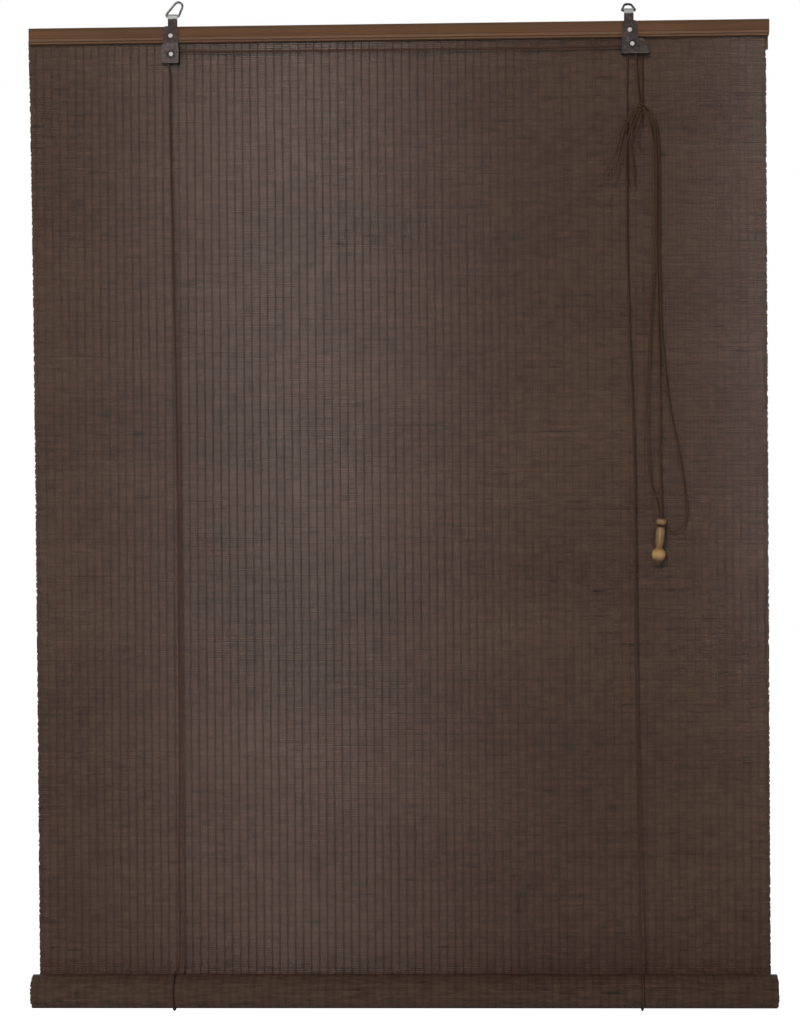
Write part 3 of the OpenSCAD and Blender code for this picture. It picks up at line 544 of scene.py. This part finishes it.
def degrees_sine(a):
    """The sine of an angle in degrees."""
    return math.sin(math.radians(a))


def gap_places():
    """Row, middle and length of each light gap, by the same rule as the solid's."""
    ridge = (MAT_TOP - MAT_FOOT) / RIDGES
    first = math.ceil((MAT_TOP + 62 * MM) / ridge) + 3
    room = RIDGES - first - 6
    found = []
    for r in range(GAP_ROWS):
        for c in range(GAP_COLUMNS):
            at = (r + 0.5 + 0.45 * degrees_sine(r * 97 + c * 211)) / GAP_ROWS
            row = first + math.floor(at * room)
            x = ((c + 0.5) / GAP_COLUMNS - 0.5) * MAT_W
            x += (MAT_W / GAP_COLUMNS - GAP_W) * 0.45 * degrees_sine(r * 143 + c * 59)
            found.append((3 * row, x, GAP_W * (0.65 + 0.35 * degrees_sine(r * 71 + c * 173))))
    return found


def stations(columns):
    """Places along a reed from -1 to 1: even, but for a section of 1.3 mm at each end, where the shading turns."""
    return np.concatenate([[-1], np.linspace(-0.997, 0.997, columns - 2), [1]])


def reed_rows(count, columns, width, pitch, seed, uneven):
    """For each reed and column: its place along X, its shift along the mat, and its half height.
    Reeds bow by a slow sine each, thin towards one end, press a little into their neighbours, and their cut
    ends differ by up to uneven."""
    rng = np.random.default_rng(seed)
    t = stations(columns)[None, :]
    reach = width / 2 - uneven * rng.random((count, 1)) ** 2
    start = -width / 2 + uneven * rng.random((count, 1)) ** 2
    x = start + (reach - start) * (t + 1) / 2
    bow = 0.03 * pitch * np.sin(t * rng.uniform(1, 5, (count, 1)) + rng.uniform(0, 6, (count, 1)))
    taper = 1.16 + 0.03 * t * rng.choice([-1, 1], (count, 1)) + 0.03 * rng.standard_normal((count, columns))
    return x, bow, pitch / 2 * taper


def mat_piece(name, first, last):
    """Reeds first to last of the hanging mat. Each reed is a closed rod of eight sides, domed to both faces;
    three make one ridge of the solid. Beside a row of light gaps their edges reach just over half a pitch, and at
    a gap they draw back by half of it. The mat's left edge runs out by RUN_OUT exp(-depth / RUN_OUT_FADE)."""
    pitch = (MAT_TOP - MAT_FOOT) / REEDS
    x, bow, half = reed_rows(REEDS, COLUMNS, MAT_W, pitch, 7, 1.2 * MM)
    depth = (np.arange(REEDS)[:, None] + 0.5) * pitch
    x -= RUN_OUT * np.exp(-depth / RUN_OUT_FADE) * (MAT_W / 2 - x) / MAT_W
    up, down = half.copy(), half.copy()
    for row, middle, length in gap_places():
        for k, edge in ((row, up), (row - 1, down)):
            near = np.clip((length / 2 + 6 * MM - np.abs(x[k] - middle)) / (10 * MM), 0, 1)
            edge[k] = np.minimum(edge[k], pitch / 2 * GAP_EDGE - near * GAP_H / 2)
    pick = slice(first, last)
    row = np.arange(first, last)
    x, bow, up, down = x[pick], bow[pick], up[pick], down[pick]
    z = MAT_TOP - (row[:, None] + 0.5) * pitch + bow
    thick = MAT_T / 2 * np.where(row % 3 == 1, 1.0, 0.86)[:, None] * (0.97 + 0.03 * np.sin(row * 2.4))[:, None]
    lift = np.where(RIM[:, 0] > 0, RIM[:, 0] * up[..., None], RIM[:, 0] * down[..., None])
    across = np.broadcast_to(x[..., None], lift.shape)
    points = np.stack([across, RIM[:, 1] * thick[..., None] * np.ones_like(lift), z[..., None] + lift], -1)
    return strips(name, points, row, REEDS, "reed", REED)


def strips(name, points, row, total, slot, finish):
    """Closed rods from an array of reeds, columns and rim points, each rod with both its ends filled.
    Each rod has a band of the map: its front and sides in the lower half, its back in the upper half."""
    count, columns, rim = points.shape[:3]
    index = np.arange(count * columns * rim).reshape(count, columns, rim)
    turn = np.roll(index, -1, axis=2)
    walls = np.stack([index[:, :-1], index[:, 1:], turn[:, 1:], turn[:, :-1]], -1)
    low = np.array([0.0, 0.25, 0.75, 0.0, 0.12, 0.3, 0.7, 0.88])
    high = np.array([0.25, 0.75, 1.0, 0.12, 0.3, 0.7, 0.88, 1.0])
    half_of = np.array([0.5, 0.5, 0.5, 0, 0, 0, 0, 0])
    rank = np.arange(count)[:, None, None] / count / 2
    v_low = np.broadcast_to(half_of + rank + low / count / 2, walls.shape[:3])
    v_high = np.broadcast_to(half_of + rank + high / count / 2, walls.shape[:3])
    u = np.broadcast_to((0.5 + 0.498 * stations(columns))[None, :, None], index.shape)
    wall_uv = np.stack(
        [np.stack([u[:, :-1], u[:, 1:], u[:, 1:], u[:, :-1]], -1), np.stack([v_low, v_low, v_high, v_high], -1)], -1
    )
    faces, uv = [walls.reshape(-1, 4)], [wall_uv.reshape(-1, 2)]
    for k in range(rim // 2 - 1):
        corners = [k, k + 1, rim - 2 - k, rim - 1 - k]
        for column, order in ((0, corners), (-1, corners[::-1])):
            faces.append(index[:, column, order])
            u_end = np.full((count, 4), 0.001 if column == 0 else 0.999)
            uv.append(np.stack([u_end, np.broadcast_to(rank[:, 0], (count, 4))], -1).reshape(-1, 2))
    rng = np.random.default_rng(11)
    tone = rng.random(total)[row]
    shape = points.shape[:3]
    return add_mesh(
        name, points, np.vstack(faces), finish, slot, corner_uv=np.vstack(uv),
        tone=np.broadcast_to(tone[:, None, None], shape), row=np.broadcast_to(row[:, None, None].astype(float), shape),
    )


def make_mat():
    """The hanging mat in three pieces, cut between ridges, which shorten towards the rail as the roll climbs."""
    parts = 3
    edges = [RIDGES * k // parts * 3 for k in range(parts + 1)]
    for k in range(parts):
        made = mat_piece(f"reed_mat_{k + 1}", edges[k], edges[k + 1])
        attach(made, "head")
        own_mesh(made)
        if k == 0:
            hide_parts("reed_mat")


def make_roll():
    """The rolled end: reeds laid round a spiral of four turns from the mat's foot inwards, each across the roll."""
    angle = np.linspace(0, ROLL_TURNS * math.tau, 4001)
    radius = ROLL_R - MAT_T / 2 - TURN_STEP * angle / math.tau
    along = np.concatenate([[0], np.cumsum((radius[1:] + radius[:-1]) / 2 * np.diff(angle))])
    count = int(along[-1] / ROLL_PITCH)
    at = np.interp((np.arange(count) + 0.5) * ROLL_PITCH, along, angle)
    r = ROLL_R - MAT_T / 2 - TURN_STEP * at / math.tau
    x, bow, half = reed_rows(count, COLUMNS, ROLL_W, ROLL_PITCH, 23, 1.6 * MM)
    row = np.arange(count)
    thick = MAT_T / 2 * np.where(row % 3 == 1, 1.0, 0.88)[:, None]
    swing = at[:, None, None] - (RIM[:, 0] * half[..., None] * 0.96 + bow[..., None] * 0.5) / r[:, None, None]
    out = r[:, None, None] + RIM[:, 1] * thick[..., None]
    across = np.broadcast_to(x[..., None], swing.shape)
    points = np.stack([across, ROLL_Y + out * np.cos(-swing), ROLL_Z + out * np.sin(-swing)], -1)
    made = strips("reed_roll", points, row, count, "rolled_reed", ROLLED_REED)
    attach(made, "roll")
    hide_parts("rolled_mat")


# ---------------------------------------------------------------- cords

CORD_R, TAIL_R = 1.1 * MM, 0.9 * MM
# The rest of this section is in mm
WRAP, GUIDE = 4.2, 2.9  # radius of a cord's line round a wheel, and round the lock's roller
ROLLER = (8.5, -4.5)  # x and z of the roller from the lock's axle
GROOVE_FRONT, GROOVE_REAR = -8.95, -4.95  # y of the grooves
LOCK_LEFT = 13.2  # the lock's left side from its axle
CRADLE, CRADLE_START = 22.9, 112  # radius of a cord's line under the roll, and the angle where it meets the roll
LEAN_TOP, LEAN_H = -106, 954  # height below which a lift cord leans out, and over which it does so
BACK_FOOT, BACK_Y, HELD_Y = -62, 2.4, 8.05 + 1.1 + 0.05  # foot of the back batten; cord behind the mat and the batten
KNOT = (294.5, -9, -131)


def arc(x, y, z, r, start, end, count):
    """Points round a wheel, from one angle to another, in the plane of the front."""
    a = np.radians(np.linspace(start, end, count))
    return np.stack([x + r * np.cos(a), np.full(count, y), z + r * np.sin(a)], 1)


def front_route(x_top, sway, x_hang, x_cradle, y, z):
    """From a wheel's side down to the roll's front; sway gives the cord's offset from that side at some heights."""
    roll_y, roll_z = ROLL_AXIS
    top = roll_z + CRADLE
    a = math.radians(CRADLE_START)
    start = np.array([x_cradle, roll_y + CRADLE * math.cos(a), roll_z + CRADLE * math.sin(a)])
    way = np.array([0, -math.sin(a), math.cos(a)])
    before = start - way * 5 + [0, 0, 0.8]

    def towards_cradle(share):
        return x_hang + (x_cradle - x_hang) * share

    def lean(at):
        return min(max((LEAN_TOP - at) / LEAN_H, 0), 1)

    return [(x_top, y, z - 1.1), (x_top, y, z - 4)] + [
        (x_top + off, y + (-19 - y) * lean(at), at) for off, at in sway
    ] + [(x_hang, -20.8, top + 22), (towards_cradle(0.25), -21.3, top + 6),
         (towards_cradle(0.8), before[1], before[2]), tuple(start)]


# Offset of each lift cord from its wheel's side, and the height
SWAY_LEFT = (
    (1.8, -87), (1.7, -129), (2.6, -190), (3.9, -276), (6, -385), (7.4, -507), (8.6, -629), (9, -775), (9.1, -922),
    (7.7, -1060),
)
SWAY_RIGHT = (
    (-1.8, -83), (-2.1, -124), (-2.6, -184), (-3.5, -285), (-2.4, -354), (-1.3, -403), (0, -451), (1.8, -500),
    (2.9, -548), (3.3, -620), (3.2, -700), (3.8, -875), (5, -972), (6.4, -1060),
)


def lift_cord(name, node, route):
    """A lift cord's stretch that shortens as the roll climbs, held at its upper end."""
    line = even(hermite(route), 1.6) * MM
    made = tube(name, line, CORD_R, CORD)
    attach(made, "head")
    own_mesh(made)
    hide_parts(node)


def make_lift_cords():
    """The two lift cords: down the front, round under the roll, and up the back to a staple on the batten."""
    left, right = AXLE_L[0] - WRAP, AXLE_R[0] - WRAP
    cradle_left, cradle_right = left + 1.7, right + 8.4
    lift_cord("lift_cord_left", "left_front_cord",
              front_route(left, SWAY_LEFT, left + 7.5, cradle_left, GROOVE_FRONT, AXLE_L[1]))
    lift_cord("lift_cord_right", "right_front_cord",
              front_route(right, SWAY_RIGHT, right + 7.7, cradle_right, GROOVE_REAR, AXLE_R[1]))
    roll_y, roll_z = ROLL_AXIS
    for side, x in (("left", cradle_left), ("right", cradle_right)):
        route = [
            (x, BACK_Y, -1202.2), (x, BACK_Y, BACK_FOOT - 60), (x, BACK_Y, BACK_FOOT - 24), (x, BACK_Y, BACK_FOOT - 16),
            (x, BACK_Y + 5.65 * 0.45, BACK_FOOT - 8), (x, 8.45, BACK_FOOT - 4), (x, 9.9, BACK_FOOT + 0.8),
            (x, HELD_Y + 0.1, BACK_FOOT + 6), (x, HELD_Y, BACK_FOOT + 11), (x, HELD_Y, BACK_FOOT + 18),
        ]
        lift_cord(f"lift_cord_back_{side}", f"{side}_back_cord", route)
        a = np.radians(np.linspace(CRADLE_START + 0.7, 360, 120))
        ring = np.stack([np.full(120, x), roll_y + CRADLE * np.cos(a), roll_z + CRADLE * np.sin(a)], 1) * MM
        made = tube(f"lift_cord_cradle_{side}", ring, CORD_R, CORD)
        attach(made, "lift")
        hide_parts(f"{side}_cradle_cord")


def make_rail_cords():
    """The left cord's run under the rail and over the lock's front groove, and the right cord's loop over the rear
    groove and round the far side of the roller."""
    left, right = AXLE_L[0] - WRAP, AXLE_R[0] - WRAP
    (lx, lz), (rx, rz) = AXLE_L, AXLE_R
    cross = np.vstack([
        [[left, GROOVE_FRONT, lz - 1]], arc(lx, GROOVE_FRONT, lz, WRAP, 180, 90, 8),
        hermite([(lx, GROOVE_FRONT, lz + WRAP), (lx + 158, GROOVE_FRONT, lz + WRAP - 1.5),
                 (rx - LOCK_LEFT - 40, GROOVE_FRONT, rz - 2.4), (rx - LOCK_LEFT, GROOVE_FRONT, rz - 1.6)], 30)[1:],
        arc(rx, GROOVE_FRONT, rz, WRAP, 125, 0, 12), [[rx + WRAP, GROOVE_FRONT, rz - 1]],
    ])
    over = math.degrees(math.atan2(ROLLER[1], ROLLER[0]) + math.acos((WRAP - GUIDE) / math.hypot(*ROLLER)))
    px, pz = rx + ROLLER[0], rz + ROLLER[1]
    loop = np.vstack([
        [[right, GROOVE_REAR, rz - 1]], arc(rx, GROOVE_REAR, rz, WRAP, 180, over, 14),
        arc(px, GROOVE_REAR, pz, GUIDE, over, 0, 8), [[px + GUIDE, GROOVE_REAR, pz - 1]],
    ])
    for name, node, line in (
        ("cross_cord_run", "cross_cord", even(cross, 1.2)), ("lock_cord_run", "lock_loop_cord", even(loop, 0.8)),
    ):
        made = tube(name, line * MM, CORD_R, CORD)
        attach(made, "head")
        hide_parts(node)


# Routes of the strands and of the cut ends from the knot down, and of the two pull cords from the lock to the knot
MAIN = [(297.5, -10, -133), (300.5, -11, -138.5), (305.7, -11, -145), (310.4, -11, -156), (312.7, -11, -185),
        (313, -11, -233), (312.6, -11, -306), (313.5, -11, -354), (314, -11, -403), (315.2, -11, -451),
        (315.6, -11, -500), (315.3, -11, -548), (315.8, -11, -597), (316.5, -11, -625)]
SLACK = [(298, -8, -131), (303, -8, -134), (308.5, -8, -140), (312.8, -8, -150.7), (316, -8, -178.6), (316.6, -8, -233),
         (316.2, -8, -306), (317.1, -8, -354), (318.5, -8, -403), (322.3, -8, -451), (328.7, -8, -500),
         (338.1, -8, -548), (345.1, -8, -597), (348.3, -8.5, -625), (343, -9.5, -640), (334, -10.5, -646.5),
         (323.5, -11, -645.5)]
LEFT = [(296.5, -12, -134), (301.5, -14, -145), (306.5, -14.5, -162), (309, -14.5, -190), (309.4, -14.5, -234),
        (309, -14.5, -306), (305.6, -14.5, -354), (303.4, -14.5, -403), (300.4, -14.5, -451), (299.6, -14.5, -500),
        (300.4, -14.5, -548), (303.5, -14.5, -588), (309.5, -14.5, -608), (314, -14, -624)]
TAILS = [
    [(291, -11.5, -133.5), (281, -12.5, -143), (271.5, -13, -159), (266.5, -13, -180), (259, -13, -198),
     (249, -12, -213)],
    [(291.5, -13, -134.5), (280, -15, -148), (272, -16, -168), (268, -16, -187), (264, -15.5, -205), (258, -15, -221)],
    [(293, -12, -135.5), (285, -13, -146), (281, -13.5, -164), (282, -13.5, -187), (285, -13.5, -208),
     (286, -13, -228)],
    [(294.5, -13.5, -135), (287, -16.5, -152), (276.5, -17, -176), (275, -17, -202), (277, -16.5, -225)],
    [(295, -12, -136), (293, -12.5, -152), (288.5, -13, -168), (292, -13, -182), (299, -13, -185)],
]
FRONT_PULL = [(AXLE_R[0] + WRAP, GROOVE_FRONT, AXLE_R[1] - 1.1), (289.4, -9.2, -76), (290.5, -9.5, -101),
              (293, -9.5, -126.8)]
REAR_PULL = [(AXLE_R[0] + ROLLER[0] + GUIDE, GROOVE_REAR, AXLE_R[1] + ROLLER[1] - 1.1), (296.6, -5.5, -76),
             (296.6, -6, -101), (296, -7.8, -126.8)]
KNOB = (316.8, -11, -631)
KNOB_TILT = math.radians(5)
KNOB_LENGTH = 56.5


def declared(name, node, route, radius, body):
    """A free cord along its route, hung on its body if one is given; its length is summed but not kept."""
    line = even(hermite(route), 1.5) * MM
    made = tube(name, line, radius, PULL_CORD)
    if body:
        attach(made, body)
    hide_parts(node)
    length = float(np.linalg.norm(np.diff(line, axis=0), axis=1).sum())
    return made


def make_free_cords():
    """The two pull cords from the lock to the knot, and the knot's three strands and five cut ends."""
    knot = make_knot("cord_knot", "pull_knot", KNOT, 1.0, math.radians(20))
    for name, node, route, pieces in (
        ("pull_cord_a", "pull_cord_front", FRONT_PULL, [knot]), ("pull_cord_b", "pull_cord_rear", REAR_PULL, ()),
    ):
        made = declared(name, node, route, CORD_R, None)
        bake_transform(made)
    way = np.array([-math.sin(KNOB_TILT), 0, -math.cos(KNOB_TILT)])
    main = MAIN + [KNOB, tuple(np.array(KNOB) + way * (KNOB_LENGTH - 5.5))]
    make_knot("foot_knot", "knob_knot", np.array(KNOB) + way * (KNOB_LENGTH - 2.9), 0.52, KNOB_TILT)
    declared("strand_a", "strand_main", main, CORD_R, "pull")
    declared("strand_b", "strand_slack", SLACK, CORD_R, "pull")
    declared("strand_c", "strand_left", LEFT, CORD_R, "pull")
    for k, route in enumerate(TAILS):
        declared(f"cord_end_{k + 1}", f"tail_{k + 1}", route, TAIL_R, "pull")


def make_knot(name, node, centre, size, tilt):
    """An overhand knot: a line that winds twice round a short core as it goes down, leaning by tilt."""
    t = np.linspace(0, 1, 150)
    a = t * 2.6 * math.tau + 0.6
    r = 2.4 + 0.8 * np.sin(t * math.pi)
    x, y, z = r * np.cos(a), r * np.sin(a), 3.2 - 6.4 * t + 0.9 * np.sin(a * 0.5)
    line = np.stack([x * math.cos(tilt) + z * math.sin(tilt), y, z * math.cos(tilt) - x * math.sin(tilt)], 1)
    made = tube(name, even(line * size + centre, 0.5 * size) * MM, 1.25 * size * MM, PULL_CORD)
    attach(made, "pull")
    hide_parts(node)
    return made


BEAD, GRIP, BULB, BORE, RECESS, RECESS_H = 6.5, 5.4, 8.7, 1.6, 2.7, 6.5  # radii, and the height of the recess
# Radius of the knob at shares of its length, from the top down
KNOB_SIDE = [
    (BEAD * 0.7, 0), (BEAD * 0.95, 0.03), (BEAD, 0.076), (BEAD * 0.86, 0.13), (GRIP * 0.76, 0.163),
    (GRIP * 0.92, 0.2), (GRIP, 0.28), (GRIP * 1.04, 0.42), (GRIP * 0.93, 0.55), (GRIP * 0.74, 0.612),
    (GRIP * 0.85, 0.64), (BULB * 0.85, 0.7), (BULB, 0.785), (BULB * 0.85, 0.876), (BULB * 0.56, 0.947),
    (BULB * 0.45, 1),
]


def stain_shade_highlight(share):
    """How much dark colour is mixed in, by share of the knob's length: painted shade at the neck and below the bulb,
    staining along the grip, some darkening at the very top, and less on the bead and the grip's upper end, as painted
    highlights."""
    # Painted shade in the neck.
    neck = 0.5 * np.exp(-(((share - 0.163) / 0.03) ** 2))
    # Painted highlights on the bead and on the grip's upper end, where less dark colour is mixed in.
    wear_and_highlight = 0.2 * np.exp(-(((share - 0.07) / 0.04) ** 2)) + 0.16 * np.exp(-(((share - 0.3) / 0.06) ** 2))
    # Staining along the grip.
    grip = 0.57 * np.clip((0.72 - share) / 0.08, 0, 1)
    # Painted shade on the bulb's lower half, and some darkening at the very top.
    return neck - wear_and_highlight + grip + 0.9 * np.clip((share - 0.79) / 0.14, 0, 1) + 0.3 * np.exp(-share / 0.02)


def make_knob():
    """The turned knob: its side is a smooth line of radius against depth, carried round the axis, with the edges at
    its bore and foot eased by a quarter round, and a fine ripple left by the turning tool."""
    side = hermite([(r, 0, -share * KNOB_LENGTH) for r, share in KNOB_SIDE], 10)[:, [0, 2]]
    depth = -side[:, 1]
    side[:, 0] += 0.03 * np.sin(depth * math.tau / 1.1) * np.clip(depth - 1, 0, 1)
    ease = np.linspace(0, math.pi / 2, 6)[:-1]
    top = np.stack([BORE + 0.5 - 0.5 * np.cos(ease), -0.5 + 0.5 * np.sin(ease)], 1)
    foot_r, low = side[-1, 0], -KNOB_LENGTH
    foot = np.stack([foot_r - 0.5 + 0.5 * np.cos(ease), np.full_like(ease, low)], 1)
    inner = np.array([(RECESS + 0.25, low), (RECESS, low + 0.25), (RECESS, low + RECESS_H - 0.2),
                      (RECESS - 0.2, low + RECESS_H), (BORE, low + RECESS_H), (BORE, low / 2), (BORE, -0.5)])
    profile = np.vstack([top, side, foot[1:], inner])
    count = 96
    a = np.linspace(0, math.tau, count, endpoint=False)
    x, y, z = profile[:, :1] * np.cos(a), profile[:, :1] * np.sin(a), np.repeat(profile[:, 1:], count, 1)
    c, w = math.cos(KNOB_TILT), math.sin(KNOB_TILT)
    points = np.stack([x * c + z * w, y, z * c - x * w], -1) + KNOB
    index = np.arange(len(profile) * count).reshape(-1, count)
    below, turn = np.roll(index, -1, axis=0), np.roll(index, -1, axis=1)
    faces = np.stack([index, below, np.roll(below, -1, axis=1), turn], -1).reshape(-1, 4)
    # Per point: staining, painted shade and painted highlights, by share of the length.
    groove = np.repeat(stain_shade_highlight(-profile[:, 1:] / KNOB_LENGTH), count, 1)
    made = add_mesh("turned_knob", points * MM, faces, KNOB_WOOD, "knob_wood", groove=groove)
    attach(made, "pull")
    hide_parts("knob")


# ---------------------------------------------------------------- stage, light


AMBIENT, FRONT_GLOSS = 0.37, 0.04
FLOOR = [(-19, -14, -3), (19, -14, -3), (19, 34, -3), (-19, 34, -3)]
# Name, place, aim, width, height, spread in degrees, power. The key lamp is far at the upper left and throws the
# cords' shadows, the tall soft one left of the camera gives the reeds their sheen, and a weak one is at the right.
LAMPS = (
    ("key lamp", (-2.4, -7.5, 2.6), (0, 0, -0.55), 0.8, 0.8, 180, 350),
    ("soft lamp", (-0.36, -2.9, -0.25), (-0.16, 0, -0.28), 0.45, 1.5, 50, 1.35),
    ("fill lamp", (1.0, -2.7, -0.15), (0.75, 0, -0.18), 0.2, 1.2, 20, 0.7),
)


def make_floor():
    """A white floor, below the knob when the blind is fully raised, and dim in reflections."""
    mesh = bpy.data.meshes.new("floor")
    mesh.from_pydata(FLOOR, [], [(0, 1, 2, 3)])
    floor = bpy.data.objects.new("floor", mesh)
    scene.collection.objects.link(floor)
    paint = bpy.data.materials.new("floor paint")
    paint.use_nodes = True
    tree = paint.node_tree
    tree.nodes.clear()
    s = Shader(tree)
    seen = s.node("ShaderNodeLightPath")
    flat = s.node("ShaderNodeBsdfDiffuse")
    s.plug(s.mix(seen.outputs["Is Glossy Ray"], (0.9, 0.9, 0.9), (0.08, 0.08, 0.08)), flat.inputs["Color"])
    glow = s.node("ShaderNodeEmission")
    glow.inputs["Color"].default_value = (1, 1, 1, 1)
    gloss = s.sum("MULTIPLY", seen.outputs["Is Glossy Ray"], 0.1)
    direct = s.sum("MAXIMUM", seen.outputs["Is Camera Ray"], gloss)
    s.plug(s.sum("MULTIPLY", direct, 0.75), glow.inputs["Strength"])
    both = s.node("ShaderNodeAddShader")
    tree.links.new(flat.outputs[0], both.inputs[0])
    tree.links.new(glow.outputs[0], both.inputs[1])
    out = s.node("ShaderNodeOutputMaterial")
    tree.links.new(both.outputs[0], out.inputs["Surface"])
    mesh.materials.append(paint)


def make_world():
    """A white world, dim in reflections on the camera's side and even in its light."""
    world = bpy.data.worlds.new("studio")
    scene.world = world
    world.use_nodes = True
    world.node_tree.nodes.clear()
    s = Shader(world.node_tree)
    seen = s.node("ShaderNodeLightPath")
    side = s.axes(s.node("ShaderNodeTexCoord").outputs["Generated"])[1]
    front = s.ramp(side, 0.1, 0.7, FRONT_GLOSS, 1.0)
    mirrored = s.sum("MAXIMUM", seen.outputs["Is Glossy Ray"], seen.outputs["Is Transmission Ray"])
    direct = s.sum("MAXIMUM", seen.outputs["Is Camera Ray"], s.sum("MULTIPLY", mirrored, front))
    ambient = s.sum("MULTIPLY", s.sum("SUBTRACT", 1.0, mirrored), AMBIENT)
    sky = s.node("ShaderNodeBackground")
    sky.inputs["Color"].default_value = (1, 1, 1, 1)
    s.plug(s.sum("MAXIMUM", direct, ambient), sky.inputs["Strength"])
    out = s.node("ShaderNodeOutputWorld")
    s.tree.links.new(sky.outputs[0], out.inputs["Surface"])


def make_lamps():
    """The three lamps, each turned to its aim with its top side up."""
    for name, place, aim, wide, tall, spread, power in LAMPS:
        lamp = bpy.data.lights.new(name, "AREA")
        lamp.shape = "RECTANGLE"
        lamp.size, lamp.size_y, lamp.spread, lamp.energy = wide, tall, math.radians(spread), power
        made = bpy.data.objects.new(name, lamp)
        made.visible_glossy = name != "key lamp"
        scene.collection.objects.link(made)
        back = np.array(place) - np.array(aim)
        back = back / np.linalg.norm(back)
        right = np.cross([0, 0, 1], back)
        right /= np.linalg.norm(right)
        matrix = np.eye(4)
        matrix[:3, 0], matrix[:3, 1], matrix[:3, 2], matrix[:3, 3] = right, np.cross(back, right), back, place
        made.matrix_world = Matrix(matrix.tolist())


# ---------------------------------------------------------------- put together

FINISHES = {
    RAIL_WOOD: ("front_batten",),
    BATTEN_WOOD: ("back_batten",),
    DOWEL_WOOD: ("roll_dowel",),
    PLATE_STEEL: ("left_plate",),
    LOCK_STEEL: ("right_plate",),
    BOX_STEEL: ("left_housing", "lock_housing", "rivet_washers", "cord_staples"),
    WHEEL_STEEL: ("left_wheel", "lock_wheel", "lock_roller"),
    BRIGHT_STEEL: ("batten_brads", "rail_rivets", "left_axle", "lock_axle"),
    RING_STEEL: ("left_ring",),
    SHADED_RING_STEEL: ("right_ring",),
}


def dress_cad_nodes():
    """Gives the CAD's own meshes their materials."""
    for finish, names in FINISHES.items():
        for name in names:
            node = nodes[name]
            node.data.materials.clear()
            node.data.materials.append(finish)


set_camera()
make_free_cords()
make_lift_cords()
make_rail_cords()
make_knob()
make_mat()
make_roll()
dress_cad_nodes()
make_floor()
make_world()
make_lamps()
